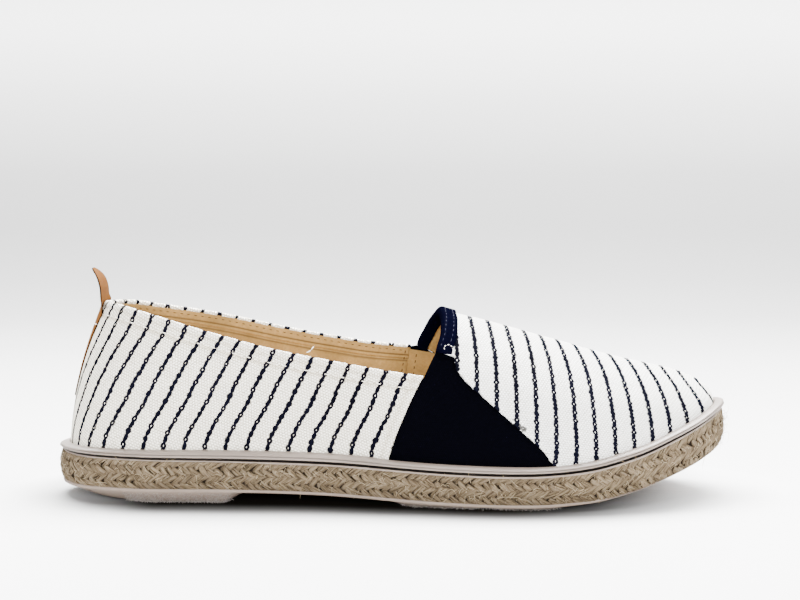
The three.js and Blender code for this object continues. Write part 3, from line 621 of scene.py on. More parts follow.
place = places_round(240)[:, None]
wall_top = skin(place, at_height(place, INSOLE_THICKNESS), -UPPER_WALL - GAP)
wall_low = skin(place, at_height(place, 0.0), -UPPER_WALL - GAP)
rings = np.array([0, 0.3, 0.6, 0.85, 0.95, 0.99, 1.0])
reach = PLATE_START + PLATE_RUN * np.abs(place)
heart = np.stack([reach * LENGTH, along(MIDDLE_PLAN, reach) * BALL_WIDTH, 0 * reach], -1)
flat = lambda wall, shares: heart * (1 - shares[None, :, None]) + wall * shares[None, :, None]
upper_face, under_face = flat(wall_top, rings), flat(wall_low, rings[::-1])
cup = 1.4 * rings ** 6 - 0.4 * np.clip(rings - 0.97, 0, 1) / 0.03
upper_face[..., 2] = midsole_top(upper_face[..., 0]) + GAP + INSOLE_THICKNESS - 0.8 + cup
under_face[..., 2] = midsole_top(under_face[..., 0]) + GAP
footbed = round_shoe("footbed", np.concatenate([upper_face, under_face], 1), tan_cloth)
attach(footbed, "root")
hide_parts("insole")


# WELT
# Rubber strip cemented round the foot of the upper: a rounded band, a moulded line, and a thin lip below it.
# It runs the whole way round in one closed ring.

# Top of the band above the midsole in millimetres, by share of length
WELT_TOP = [[0, 2.2], [0.07, 2.8], [0.3, 2.9], [0.45, 2.85], [0.5, 2.2], [0.63, 2.1], [0.74, 2.0], [0.79, 2.7],
            [0.84, 3.4], [0.9, 3.4], [0.96, 3.3], [1, 3.5]]
strip_rubber, tree, shader = finish_of("extruded_welt_rubber", Roughness=0.42, IOR=1.5, Specular_IOR_Level=0.45)
# Extruded rubber: smooth, warm light grey, half glossy, with faint smears of cement and dust.
where = add(tree, "TexCoord", out=3)
smear = add(tree, "TexNoise", {0: where, "Scale": 45.0, "Detail": 5.0})
clean = add(tree, "Mix", {0: smear, 6: linear("#534941"), 7: linear("#786C63")}, out=2, data_type="RGBA")
# Painted shade: the welt's shade value darkens its moulded line and the gap under its lip to near black.
tree.links.new(add(tree, "Mix", {0: add(tree, "Attribute", attribute_name="grime", out=2), 6: clean,
                                 7: linear("#0F0A08")}, out=2, data_type="RGBA"), shader.inputs["Base Color"])

place = places_round(720)[:, None]
foot_x = rim(place, UPPER_INSET)[0]
head = skin(place, at_height(place, along(WELT_TOP, foot_x / LENGTH) - GAP), GAP)
lean = np.hypot(rim(place)[0] - head[..., 0], rim(place)[1] - head[..., 1])
# Columns: share of the height, share of the way in from the outline to the upper, extra inset in millimetres
profile = np.array([[1.00, 1.00, 0.0], [1.05, 0.86, 0.0], [1.04, 0.70, 0.0], [0.97, 0.48, 0.0], [0.84, 0.27, 0.0],
                    [0.68, 0.12, 0.0], [0.55, 0.04, 0.05], [0.48, 0.00, 0.2], [0.43, 0.00, 0.85],
                    [0.36, 0.00, 0.9], [0.31, 0.00, 0.1], [0.17, 0.00, -0.15], [0.04, 0.00, 0.05], [0.00, 0.00, 0.5]])
x, y = rim(place, lean * profile[:, 1] + profile[:, 2])
x[:, 0], y[:, 0] = head[:, 0, 0], head[:, 0, 1]
low = midsole_top(x) + 0.75 - along(LIP_DROP, x / LENGTH)
z = low + (midsole_top(x) + along(WELT_TOP, x / LENGTH) - low) * profile[:, 0]
# Under the lip the band runs back and down behind the braid's edge, painted near black as shade in the gap.
groove_x, groove_y = rim(place, np.array([1.9, 2.1]))
groove = np.stack([groove_x, groove_y, midsole_top(groove_x) - along(LIP_DROP, groove_x / LENGTH)
                   + np.array([0.7, -1.9])], -1)
band = np.concatenate([np.stack([x, y, z], -1), groove, skin(place, 0.0, 0.1)], 1)
# Painted shade per column: darkest in the moulded line and under the lip.
grime = np.array([0.1] + [0] * 6 + [0.1, 0.5, 0.5, 0.1, 0, 0.15, 0.4, 1, 1, 1.0])
welt = round_shoe("welt_band", band, strip_rubber, closed=True, grime=np.broadcast_to(grime, band.shape[:2]))
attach(welt, "root")
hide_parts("welt")


# CANVAS QUARTERS
# One cotton canvas wrap from gore to gore round the heel, with chain stripes woven in. Its top edge is folded
# to the inside and stitched down 6 mm below the fold, and its front edges are turned under against the gores.

# Front edge of the quarter on each side: share up the rib, share along the side
QUARTER_FRONT = {-1: [[0.0, 0.480], [0.1, 0.4905], [0.2, 0.5025], [0.3, 0.514], [0.365, 0.522]],
                 1: [[0.0, 0.482], [0.15, 0.496], [0.3, 0.503], [0.435, 0.505]]}
STRIPE_PITCH, QUARTER_MOTIF = 8.2, 5.9
# In millimetres: a quarter's run from heel to front edge, how far its seams lie below the fold and behind the front
# edge, and the pitch of the stitches
QUARTER_RUN, COLLAR_SEAM, FOLD_SEAM, FRONT_SEAM, STITCH_PITCH = 168, 6.3, 3.0, 3.4, 3.1
# Number of the stripe that leaves the foot of the quarter at each share along the side
STRIPE_FOOT = [[-0.1, -5.84], [0, -2.2], [0.087, 1], [0.1135, 2], [0.17, 4], [0.2495, 7], [0.3285, 10],
               [0.4065, 13], [0.4585, 15], [0.4875, 16.1], [0.5575, 18.6]]
# How far a stripe leans towards the toe: height up the rib in millimetres, share along the side
STRIPE_LEAN = [[0, 0], [6, 0.0035], [12, 0.0105], [17, 0.018], [23, 0.027], [30, 0.034], [36, 0.041], [42, 0.047],
               [48, 0.053], [53, 0.058], [58, 0.059], [65, 0.059]]
LEAN_SHARE = [[0.05, 0.78], [0.115, 0.86], [0.172, 0.95], [0.25, 1], [0.35, 1], [0.46, 0.88]]
# Troughs (below 0) and ridges of the worn cloth:
# start place and share up, end place and share up, width and height in millimetres
CREASES = [
    (-0.10, 0.10, -0.17, 0.20, 5.0, -0.55), (-0.20, 0.30, -0.30, 0.24, 6.0, -0.35),
    (-0.30, 0.06, -0.36, 0.16, 5.0, 0.35), (-0.40, 0.22, -0.47, 0.12, 5.5, -0.4),
    (-0.07, 0.30, -0.12, 0.38, 4.5, -0.4), (0.10, 0.12, 0.18, 0.20, 5.0, -0.5),
    (0.22, 0.30, 0.33, 0.22, 6.0, -0.35), (0.38, 0.10, 0.46, 0.22, 5.5, -0.4),
    (-0.58, 0.55, -0.64, 0.80, 6.0, -0.5), (-0.66, 0.50, -0.70, 0.72, 6.0, -0.45),
    (-0.74, 0.40, -0.78, 0.62, 6.5, 0.35), (-0.66, 0.12, -0.72, 0.24, 5.0, -0.4),
    (-0.84, 0.18, -0.90, 0.30, 5.0, -0.3), (0.60, 0.55, 0.66, 0.80, 6.0, -0.5),
    (0.68, 0.45, 0.74, 0.68, 6.5, -0.4), (0.80, 0.25, 0.88, 0.40, 5.5, 0.35),
    (0.64, 0.12, 0.70, 0.26, 5.0, -0.4),
]
# Soiled spots: place, share up, radius in millimetres, strength
SPOTS = [(-0.6470, 0.211, 1.9, 1.15), (-0.654, 0.193, 1.6, 1.0), (-0.642, 0.234, 1.2, 0.8),
         (-0.668, 0.143, 1.3, 0.8), (-0.680, 0.088, 1.4, 0.8), (-0.560, 0.463, 1.2, 0.7), (-0.143, 0.247, 1.0, 0.7),
         (-0.159, 0.289, 0.9, 0.6), (-0.72, 0.05, 3.0, 0.45), (0.66, 0.10, 3.5, 0.4), (0.30, 0.05, 4.0, 0.3)]


def ridge(distance, middle, width):
    """Bell-shaped ridge: 1 at its middle, fading out on both sides over its width."""
    return np.exp(-((distance - middle) / width) ** 2)


def creased(place, up):
    """How far the worn cloth lies off the last: soft troughs and ridges that fade out round each listed line."""
    here = last(place, up)
    total = np.zeros(here.shape[:-1])
    for place0, up0, place1, up1, width, height in CREASES:
        start, end = last(place0, up0), last(place1, up1)
        way = end - start
        share = np.clip(((here - start) @ way) / (way @ way), 0, 1)
        off = np.linalg.norm(here - start - share[..., None] * way, axis=-1)
        total += height * ridge(off, 0, width)
    return total


def soiled(place, up):
    """How soiled the cloth is: each listed spot fades out from its middle."""
    here = last(place, up)
    return np.clip(sum(strength * ridge(np.linalg.norm(here - last(at, high), axis=-1), 0, radius)
                       for at, high, radius, strength in SPOTS), 0, 1)


def rounded(edge, radius):
    """Fall of a folded edge: nothing beyond the radius, and a quarter circle down to the radius at the edge."""
    near = np.clip(radius - edge, 0, radius)
    return -(radius - np.sqrt(radius ** 2 - near ** 2))


def rib_length(place, up):
    """Length along the rib from the feather edge, for a grid whose second axis runs up the rib."""
    step = np.linalg.norm(np.diff(last(place, up), axis=1), axis=-1)
    return np.concatenate([np.zeros((len(step), 1)), np.cumsum(step, 1)], 1)


def canvas_of(name, motif, lit, shaded):
    """Cotton canvas with chain stripes. Each motif of a stripe is a ring, the space between two ellipses, and half
    a knot at either end; a thin link runs through, and some rings are drawn shut."""
    material, tree, shader = finish_of(name, Roughness=1.0, IOR=1.46, Specular_IOR_Level=0.02)
    uv = add(tree, "UVMap", uv_map="cloth")
    wobble = add(tree, "TexNoise", {0: uv, "Scale": 1.3, "Detail": 3.0})
    drift = add(tree, "Math", [wobble, 0.16, -0.08], operation="MULTIPLY_ADD")
    place = add(tree, "VectorMath", [uv, add(tree, "CombineXYZ", [add(tree, "Math", [drift, 0.5], operation="ADD"),
                                                                  drift])], operation="ADD")
    chance = add(tree, "TexWhiteNoise", {"Vector": add(tree, "VectorMath", [place], operation="FLOOR")},
                 noise_dimensions="2D")
    within = add(tree, "VectorMath", [add(tree, "VectorMath", [place], operation="FRACTION"), (0.5, 0.5, 0.0)],
                 operation="SUBTRACT")
    spot = add(tree, "VectorMath", [add(tree, "VectorMath", [within, (STRIPE_PITCH, motif, 0.0)],
                                        operation="MULTIPLY")], operation="ABSOLUTE")
    frayed = add(tree, "TexNoise", {0: uv, "Scale": 14.0, "Detail": 2.0})
    fuzz = add(tree, "Math", [frayed, 0.5, -0.25], operation="MULTIPLY_ADD")
    reach = add(tree, "VectorMath", [add(tree, "VectorMath", [spot, (1 / 1.24, 1 / 1.6, 0.0)], operation="MULTIPLY")],
                out=1, operation="LENGTH")
    ring = add(tree, "MapRange", [add(tree, "Math", [reach, fuzz], operation="ADD"), 1.1, 0.86, 0.0, 1.0])
    hollow = add(tree, "VectorMath", [add(tree, "VectorMath", [spot, (1 / 0.18, 1 / 0.4, 0.0)],
                                          operation="MULTIPLY")], out=1, operation="LENGTH")
    hole = add(tree, "Math", [add(tree, "MapRange", [hollow, 1.2, 0.75, 0.0, 1.0]),
                              add(tree, "MapRange", [chance, 0.38, 0.42, 0.0, 1.0])], operation="MULTIPLY")
    loop = add(tree, "Math", [ring, add(tree, "Math", [1.0, hole], operation="SUBTRACT")], operation="MULTIPLY")
    end = add(tree, "VectorMath", [add(tree, "VectorMath", [spot, (0.0, motif / 2, 0.0)], operation="SUBTRACT"),
                                   (1 / 1.0, 1 / (motif * 0.34), 0.0)], operation="MULTIPLY")
    knot = add(tree, "MapRange", [add(tree, "Math", [add(tree, "VectorMath", [end], out=1, operation="LENGTH"), fuzz],
                                      operation="ADD"), 1.12, 0.86, 0.0, 1.0])
    link = add(tree, "MapRange", [add(tree, "SeparateXYZ", [spot]), 0.8, 0.56, 0.0, 1.0])
    solid = add(tree, "Math", [link, add(tree, "Math", [1.0, hole], operation="SUBTRACT")], operation="MULTIPLY")
    yarn = add(tree, "Math", [add(tree, "Math", [loop, knot], operation="MAXIMUM"), solid], operation="MAXIMUM")
    # Threads of the weave: short bricks 1.3 mm long, a little coarser than the cloth's own, so that they show.
    thread = add(tree, "VectorMath", [uv, (STRIPE_PITCH, motif, 0.0)], operation="MULTIPLY")
    weave = add(tree, "TexBrick", {"Vector": thread, "Color1": (0.7, 0.7, 0.7, 1), "Color2": (1, 1, 1, 1),
                                   "Mortar": (0, 0, 0, 1), "Scale": 1.0, "Mortar Size": 0.34, "Mortar Smooth": 0.9,
                                   "Brick Width": 1.3, "Row Height": 1.1}, offset=0.5)
    slub = add(tree, "TexNoise", {0: add(tree, "Mapping", {0: thread, 3: (0.25, 1.6, 1.0)}), "Scale": 1.0,
                                  "Detail": 3.0})
    cloud = add(tree, "TexNoise", {0: add(tree, "TexCoord", out=3), "Scale": 22.0, "Detail": 3.0})
    # Weave gaps and thin slubs pull the cloth towards its shaded colour: partly the threads' own texture, partly
    # painted shade in the weave's hollows.
    tone = add(tree, "Math", [weave, 0.95, add(tree, "Math", [slub, 0.7, -0.25], operation="MULTIPLY_ADD")],
               operation="MULTIPLY_ADD")
    # Painted shade: the seam value darkens the cloth along the stitch grooves.
    tone = add(tree, "Math", [tone, add(tree, "Attribute", attribute_name="seam", out=2)], operation="SUBTRACT")
    cloth = add(tree, "Mix", {0: tone, 6: linear(shaded), 7: linear(lit)}, out=2, data_type="RGBA")
    speck = add(tree, "TexNoise", {0: add(tree, "TexCoord", out=3), "Scale": 620.0, "Detail": 3.0})
    dirt = add(tree, "Math", [add(tree, "Attribute", attribute_name="soil", out=2), 0.4,
                              add(tree, "Math", [speck, 0.70], operation="SUBTRACT")], operation="MULTIPLY_ADD")
    worn = add(tree, "Mix", {0: add(tree, "MapRange", [dirt, 0.05, 0.13, 0.0, 0.92]), 6: cloth,
                             7: linear("#211E1A")}, out=2, data_type="RGBA")
    navy = add(tree, "Mix", {0: add(tree, "MapRange", [cloud, 0.3, 0.7, 0.0, 1.0]), 6: linear("#030309"),
                             7: linear("#070814")}, out=2, data_type="RGBA")
    tree.links.new(add(tree, "Mix", {0: yarn, 6: worn, 7: navy}, out=2, data_type="RGBA"),
                   shader.inputs["Base Color"])
    relief = add(tree, "Math", [yarn, 0.9, add(tree, "Math", [slub, 0.4, weave], operation="MULTIPLY_ADD")],
                 operation="MULTIPLY_ADD")
    tree.links.new(add(tree, "Bump", {"Strength": 1.0, "Distance": 0.0005, "Height": relief}),
                   shader.inputs["Normal"])
    return material


def quarter_front(rows):
    """Place of the quarters' front edges, by side, at shares of the way up to the collar."""
    return {side: along(QUARTER_FRONT[side], QUARTER_FRONT[side][-1][0] * rows) for side in (-1, 1)}


def shell(name, outer, inner, uv, material, **values):
    """Closed sheet between an outer and an inner grid of points, walled along its edges."""
    rows, columns = outer.shape[:2]
    face = grid_faces(rows, columns)
    count = rows * columns
    number = np.arange(count).reshape(rows, columns)
    edge = np.concatenate([number[0], number[1:, -1], number[-1, -2::-1], number[-2:0:-1, 0]])
    after = np.roll(edge, -1)
    wall = np.stack([edge, after, after + count, edge + count], -1)
    faces = np.concatenate([face, face[:, ::-1] + count, wall[:, ::-1]])
    points = np.concatenate([outer.reshape(-1, 3), inner.reshape(-1, 3)])
    flat = np.asarray(uv).reshape(-1, 2)
    doubled = {value: np.tile(np.asarray(numbers).ravel(), 2) for value, numbers in values.items()}
    return mesh_object(name, in_row(points), faces, material, uv=np.concatenate([flat, flat]), **doubled)


def stitches(name, line, outs, pitch, share, lift, radius, material):
    """Row of thread arches along a line: each spans a share of the pitch, and rises off the cloth as half a sine."""
    run = np.concatenate([[0], np.cumsum(np.linalg.norm(np.diff(line, axis=0), axis=1))])
    at = (np.arange(0.2 * pitch, run[-1] - pitch, pitch)[:, None] + pitch * share * np.linspace(0, 1, 6))
    middle, out = (np.stack([np.interp(at, run, q[:, axis]) for axis in range(3)], -1) for q in (line, outs))
    arch = lift * np.sin(np.linspace(0, math.pi, 6)) - 0.3 * radius
    return tube(name, in_row(middle + out * arch[None, :, None]), radius / 1000, material, sides=6)


edge_steps = np.array([0, 0.12, 0.3, 0.55, 0.9, 1.4, 2.2, 3.2]) / QUARTER_RUN
columns = np.concatenate([-1 + edge_steps, np.linspace(-1 + 4.6 / QUARTER_RUN, 1 - 4.6 / QUARTER_RUN, 260),
                          (1 - edge_steps)[::-1]])[:, None]
rows = np.concatenate([np.linspace(0, 0.93, 60), 1 - np.array([3.4, 2.6, 1.9, 1.3, 0.8, 0.45, 0.2, 0.05, 0]) / 60])
rows = rows[None, :]
front = quarter_front(rows)
place = columns * np.where(columns < 0, front[-1], front[1])
up = collar_share(place) * rows
rib = rib_length(place, up)
below_fold = rib[:, -1:] - rib
to_front = (1 - np.abs(columns)) * QUARTER_RUN
# These stitch grooves are also painted darker through the seam value below: painted shade.
stitch_line = (-0.5 * ridge(below_fold, COLLAR_SEAM, 0.6) - 0.3 * ridge(below_fold, FOLD_SEAM, 0.5)
               - 0.35 * ridge(to_front, FRONT_SEAM, 0.6))
pucker = 0.12 * np.sin(np.abs(place) * TOE * 2 * math.pi / STITCH_PITCH) * ridge(below_fold, 5.0, 2.2)
fall = rounded(to_front, 0.9) + rounded(below_fold, 1.15)
lie = creased(place, up) * np.clip(below_fold / 8, 0, 1) * np.clip(to_front / 8, 0, 1)
outer = skin(place, up, fall + lie + stitch_line + pucker)
hem = np.where(below_fold < 1.8, -2.35, -1.25)
inner = skin(place, up, hem - rounded(np.clip(below_fold, 0, 1), 0.8))
lean = along(STRIPE_LEAN, rib) * along(LEAN_SHARE, np.abs(place))
cloth = np.stack([along(STRIPE_FOOT, np.abs(place) - lean) + 60,
                  (rib * 0.94 + np.abs(place) * TOE * 0.34) / QUARTER_MOTIF], -1)
# The quarters' copy of the canvas is warmer and darker than the vamp's: painted shade on the upright sides. Their seam
# value is painted shade along the stitch grooves.
quarters = shell("canvas_quarters", outer, inner, cloth,
                 canvas_of("canvas_quarter", QUARTER_MOTIF, "#FFFBF0", "#BDB4A2"), soil=soiled(place, up),
                 seam=0.8 * ridge(below_fold, COLLAR_SEAM + 0.7, 0.9) + 0.5 * ridge(below_fold, FOLD_SEAM + 0.3, 0.8)
                 + 0.5 * ridge(to_front, FRONT_SEAM, 0.8))
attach(quarters, "root")
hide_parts("upper")

white_thread, tree, shader = finish_of("bleached_sewing_thread", Roughness=0.85, IOR=1.5, Specular_IOR_Level=0.15)
# Spun polyester thread, off-white, nearly matt.
shader.inputs["Base Color"].default_value = linear("#EDE8DC")
seam_up = np.array([np.interp(rib[i, -1] - COLLAR_SEAM, rib[i], up[i]) for i in range(8, len(rib) - 8)])
seam_place = place[8:-8, -1]
collar_seam = stitches("collar_stitches", skin(seam_place, seam_up, -0.3), axes(seam_place, seam_up)[2],
                       STITCH_PITCH, 0.72, 0.25, 0.19, white_thread)
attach(collar_seam, "root")

# A short end of the same thread stands free just above the outer quarter's edge.
t = np.linspace(0, 1, 14)
stray = stitches("stray_thread", skin(-0.3665 - 0.0105 * t, 0.325 + 0.035 * t - 0.012 * np.sin(t * math.pi), 0.4),
                 axes(-0.37 + 0 * t, 0.335)[2], 2.2, 0.95, 0.5, 0.16, white_thread)
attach(stray, "root")


# QUARTER LINING
# Tan lining cloth inside the quarters, with its top edge stitched under the canvas fold and a seam below it.

tan_thread, tree, shader = finish_of("brown_sewing_thread", Roughness=0.85, IOR=1.5, Specular_IOR_Level=0.1)
# Spun thread, near black-brown, sunk into the lining.
shader.inputs["Base Color"].default_value = linear("#241509")
rows = np.concatenate([np.linspace(0.04, 0.8, 36), 1 - np.arange(11.4, 1.3, -0.4) / 60])[None]
front = quarter_front(rows)
columns = np.linspace(-1.0, 1.0, 220)[:, None]
place = columns * np.where(columns < 0, front[-1], front[1])
up = collar_share(place) * rows
rib = rib_length(place, up)
below_fold = rib[:, -1:] - rib + 1.4
seam = 0.5 * ridge(below_fold, 7.6, 0.45) - 0.35 * ridge(below_fold, COLLAR_SEAM, 0.8)
ease = 0.2 * np.sin(place * 90) * np.clip((below_fold - 7.5) / 3, 0, 1)
visible = skin(place, up, -2.4 + seam - ease)
hidden = skin(place, up, -1.35)
# Painted shade along the creases beside the lining's seam.
painted_crease_shade = 0.8 * ridge(below_fold, 5.3, 0.4) + 0.7 * ridge(below_fold, 8.3, 0.4)
lining = shell("quarter_lining", visible, hidden, np.stack([place * TOE, rib], -1), tan_cloth,
               seam=painted_crease_shade + 0 * place)
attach(lining, "root")

for distance, name in ((3.0, "lining_edge_stitches"), (6.6, "lining_seam_stitches")):
    seam_up = np.array([np.interp(rib[i, -1] + 1.4 - distance, rib[i], up[i]) for i in range(len(rib))])
    seam_place = columns[:, 0] * np.where(columns[:, 0] < 0, front[-1][0, -1], front[1][0, -1])
    row_of = stitches(name, skin(seam_place, seam_up, -2.45), -axes(seam_place, seam_up)[2], STITCH_PITCH, 0.45,
                      0.1, 0.15, tan_thread)
    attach(row_of, "root")


# CANVAS VAMP
# The same canvas, pulled over the instep and toe in one piece. Its rear edges are folded under and lie over the
# elastic gores; the chain stripes run across the foot.

# Rear edge of the vamp on each side: share up the rib, share along the side
VAMP_REAR = {-1: [[0.0, 0.695], [0.07, 0.682], [0.2, 0.645], [0.32, 0.604], [0.41, 0.573], [0.46, 0.564],
                  [0.522, 0.560], [0.53, 0.535], [0.65, 0.538], [0.8, 0.534], [0.92, 0.525], [1.0, 0.518]],
             1: [[0.0, 0.69], [0.07, 0.678], [0.18, 0.642], [0.3, 0.596], [0.38, 0.562], [0.44, 0.533],
                 [0.455, 0.514], [0.6, 0.52], [0.8, 0.524], [0.92, 0.521], [1.0, 0.518]]}
# Share up the rib at which the throat's edge starts on each side
THROAT_FOOT = {-1: 0.53, 1: 0.455}
# In millimetres: the vamp's run from rear edge to toe, its first stripe's distance from the heel, and the length of
# a stripe's motif
VAMP_RUN, FIRST_STRIPE, VAMP_MOTIF = 160, 171.6, 4.3
# How far the stripes bow back over the crest: distance from the heel, bow in millimetres
STRIPE_BOW = [[165, -1.2], [190, 0], [203, 0.6], [212, 2.0], [228, 3.2], [245, 4.4], [262, 5.9], [285, 7.0]]

ups = {side: np.concatenate([np.linspace(0, foot - 0.03, 44), foot - 0.015 + np.linspace(-0.01, 0.015, 6),
                             np.linspace(foot + 0.01, 1, 52)]) for side, foot in THROAT_FOOT.items()}
edge_steps = np.array([0, 0.1, 0.25, 0.45, 0.7, 1.1, 1.7, 2.6]) / VAMP_RUN
columns = np.concatenate([edge_steps, 1 - (1 - np.linspace(0, 1, 116)[1:]) ** 1.25 * (1 - edge_steps[-1])])[:, None]
rng = np.random.default_rng(8)
outer, inner, cloth, soil = [], [], [], []
for side in (-1, 1):
    up = ups[side][None, :]
    # The edge lies 1.5 mm further forward under the binding.
    under_tape = np.clip((up - THROAT_FOOT[side]) / 0.03, 0, 1)
    rear = along(VAMP_REAR[side], up) + 0.0055 * under_tape
    place = side * (rear + (1 - rear) * columns)
    to_rear = columns * VAMP_RUN
    base = last(place, up)
    rib = rib_length(place, up)
    ragged = rng.normal(0, 0.22, up.shape) * (1 - under_tape) * ridge(to_rear, 0, 1.2)
    wave = 0.14 * np.sin(rib * 2 * math.pi / VAMP_MOTIF) * ridge(to_rear, 0, 2.5)
    lip = 0.3 * ridge(to_rear, 0, 4) * (1 - under_tape)
    lie = creased(place, up) * np.clip(to_rear / 6, 0, 1)
    outer.append(skin(place, up, rounded(to_rear, 0.7) + lie + wave + lip, 0 * lie, ragged))
    inner.append(skin(place, up, np.full(to_rear.shape, -1.2) + 0 * up))
    # Share of the way from the middle line to the feather edge, straight across the foot
    edge_x, edge_y = rim(side * np.linspace(0, 1, 400), UPPER_INSET)
    middle = along(MIDDLE_PLAN, base[..., 0] / LENGTH) * BALL_WIDTH
    half = np.maximum(np.abs(np.interp(base[..., 0], edge_x, edge_y) - middle), 1)
    out = np.clip(np.abs(base[..., 1] - middle) / half, 0, 1)
    bow = along(STRIPE_BOW, base[..., 0]) * (1 - out ** 2)
    turned = 2.6 * ridge(base[..., 0], 207, 12) * np.exp(-rib / 4)
    count = (base[..., 0] + bow + turned + 2.4 * (1 - out ** 2) ** 4 - FIRST_STRIPE) / STRIPE_PITCH
    drop = np.linalg.norm(np.diff(base[..., 1:], axis=1), axis=-1)
    drop = np.concatenate([np.zeros((len(drop), 1)), np.cumsum(drop, 1)], 1)
    cloth.append(np.stack([count + 40, side * (drop - drop[:, -1:]) / VAMP_MOTIF + 60], -1))
    soil.append(soiled(place, up)[..., None])
join = lambda pair: np.concatenate([pair[0], pair[1][:, -2::-1]], 1)
# The vamp's copy of the canvas is whiter and lighter than the quarters': painted light on the top of the foot.
vamp = shell("canvas_vamp", join(outer), join(inner), join(cloth),
             canvas_of("canvas_vamp", VAMP_MOTIF, "#FFFFFE", "#CFCCC3"), soil=join(soil))
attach(vamp, "root")
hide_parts("upper")

faces_in, uv_in = [], []
for side in (-1, 1):
    up = np.concatenate([np.linspace(0.04, 0.98, 50), [1.0]])[None, :]
    rear = along(VAMP_REAR[side], up) + 0.012
    place = side * (rear + (1 - rear) * np.linspace(0, 0.9993, 60)[:, None])
    faces_in.append([skin(place, up, -2.3), skin(place, up, -1.3)])
    uv_in.append(np.stack([place * TOE, rib_length(place, up)], -1))
vamp_lining = shell("vamp_lining", join([f[0] for f in faces_in]), join([f[1] for f in faces_in]), join(uv_in),
                    tan_cloth)
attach(vamp_lining, "root")


# ELASTIC GORES
# Navy elastic webbing let in between quarter and vamp on each side, with lining cloth behind it. It lies a little
# below the canvas, its fine cords run up and down, and its top edge is turned over.

elastic, tree, shader = finish_of("navy_elastic_webbing", Roughness=1.0, IOR=1.46, Specular_IOR_Level=0.0)
# Rubber cords covered in navy cotton: fine slanting ribs, almost black in shade, with a few fibres catching light.
uv = add(tree, "UVMap", uv_map="cloth")
u = add(tree, "SeparateXYZ", [uv])
slanted = add(tree, "Math", [u.node.outputs[1], 0.6, u], operation="MULTIPLY_ADD")
# Ribs are drawn 0.9 mm apart, about twice their real spacing, so that they show.
rib_wave = add(tree, "Math", [add(tree, "Math", [slanted, 2 * math.pi / 0.9], operation="MULTIPLY")],
               operation="SINE")
lint = add(tree, "TexNoise", {0: uv, "Scale": 2.5, "Detail": 5.0, "Roughness": 0.7})
lift = add(tree, "Math", [rib_wave, 0.2, lint], operation="MULTIPLY_ADD")
tree.links.new(add(tree, "Mix", {0: add(tree, "MapRange", [lift, 0.35, 0.95, 0.0, 1.0]), 6: linear("#010101"),
                                 7: linear("#04040B")}, out=2, data_type="RGBA"), shader.inputs["Base Color"])
tree.links.new(add(tree, "Bump", {"Strength": 0.45, "Distance": 0.0003, "Height": lift}), shader.inputs["Normal"])

for side, name in ((-1, "outer"), (1, "inner")):
    across = np.linspace(-0.035, 1.035, 60)[:, None]
    rows = np.concatenate([np.linspace(0, 0.95, 50), [0.965, 0.98, 0.99, 0.997, 1.0]])[None, :]
    front_top = QUARTER_FRONT[side][-1][0]
    rear = along(QUARTER_FRONT[side], front_top * rows)
    ahead = along(VAMP_REAR[side], THROAT_FOOT[side] * rows)
    place = side * (rear + (ahead - rear) * across)
    up = (front_top + (THROAT_FOOT[side] - front_top) * np.clip(across, 0, 1)) * rows
    rib = rib_length(place, up)
    from_top = rib[:, -1:] - rib
    inside = np.clip(np.minimum(across, 1 - across) * 30, 0, 1)
    surface = -1.15 + 0.5 * inside + rounded(from_top, 0.55) - 0.18 * ridge(from_top, 4.5, 0.5)
    gore = shell(f"gore_{name}", skin(place, up, surface), skin(place, up, -1.8 - 0 * surface),
                 np.stack([np.abs(place) * TOE, rib], -1), elastic)
    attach(gore, "root")
    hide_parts(f"gore_{name}_side")

for side, name in ((-1, "outer"), (1, "inner")):
    foot, head = THROAT_FOOT[side], QUARTER_FRONT[side][-1][0]
    across = np.linspace(-0.02, 1.25, 40)[:, None]
    rows = np.concatenate([np.linspace(0.04, 0.9, 30), [0.92, 0.94, 0.96, 0.97]])[None]
    rear, ahead = along(QUARTER_FRONT[side], head * rows), along(VAMP_REAR[side], foot * rows)
    place = side * (rear + (ahead - rear) * across)
    up = (head + (foot - head) * np.clip(across, 0, 1)) * rows
    rib = rib_length(place, up)
    gore_lining = shell(f"gore_lining_{name}", skin(place, up, -2.5), skin(place, up, -1.85),
                        np.stack([place * TOE, rib], -1), tan_cloth)
    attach(gore_lining, "root")
    for forward in (-2.2, 3.2):
        seam_up = np.linspace(head - 0.02, head * 0.45, 40)
        seam_place = side * (along(QUARTER_FRONT[side], seam_up) + forward / TOE)
        row_of = stitches(f"gore_seam_{name}_{'back' if forward < 0 else 'front'}", skin(seam_place, seam_up, -2.6),
                          -axes(seam_place, seam_up)[2], 3.0, 0.55, 0.15, 0.2, tan_thread)
        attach(row_of, "root")


# THROAT BINDING
# Navy cotton tape folded over the vamp's edge from gore to gore and sewn through in two rows. A short white
# bartack holds its foot on the outer side.

BINDING_WIDTH, BINDING_INSIDE, BINDING_THICKNESS, BINDING_GAP = 6.7, 4.6, 0.9, 0.45
tape_cloth, tree, shader = finish_of("navy_cotton_tape", Roughness=1.0, IOR=1.46, Specular_IOR_Level=0.0)
# Cotton tape, tightly woven: fine cross ribs and a soft mottled navy.
uv = add(tree, "UVMap", uv_map="cloth")
u = add(tree, "SeparateXYZ", [uv])
# Cross ribs are drawn 0.7 mm apart, coarser than the tape's own, so that they show.
ribs = add(tree, "Math", [add(tree, "Math", [u, 2 * math.pi / 0.7], operation="MULTIPLY")], operation="SINE")
mottle = add(tree, "TexNoise", {0: uv, "Scale": 0.9, "Detail": 5.0})
blend = add(tree, "Math", [ribs, 0.12, mottle], operation="MULTIPLY_ADD")
tree.links.new(add(tree, "Mix", {0: blend, 6: linear("#010103"), 7: linear("#03030F")}, out=2, data_type="RGBA"),
               shader.inputs["Base Color"])
tree.links.new(add(tree, "Bump", {"Strength": 0.5, "Distance": 0.0003, "Height": blend}), shader.inputs["Normal"])

near, far = BINDING_GAP, BINDING_GAP + BINDING_THICKNESS
mid_depth, half_fold, fold_at = -UPPER_WALL / 2, UPPER_WALL / 2, 1.35
turn = np.linspace(0, math.pi, 11)
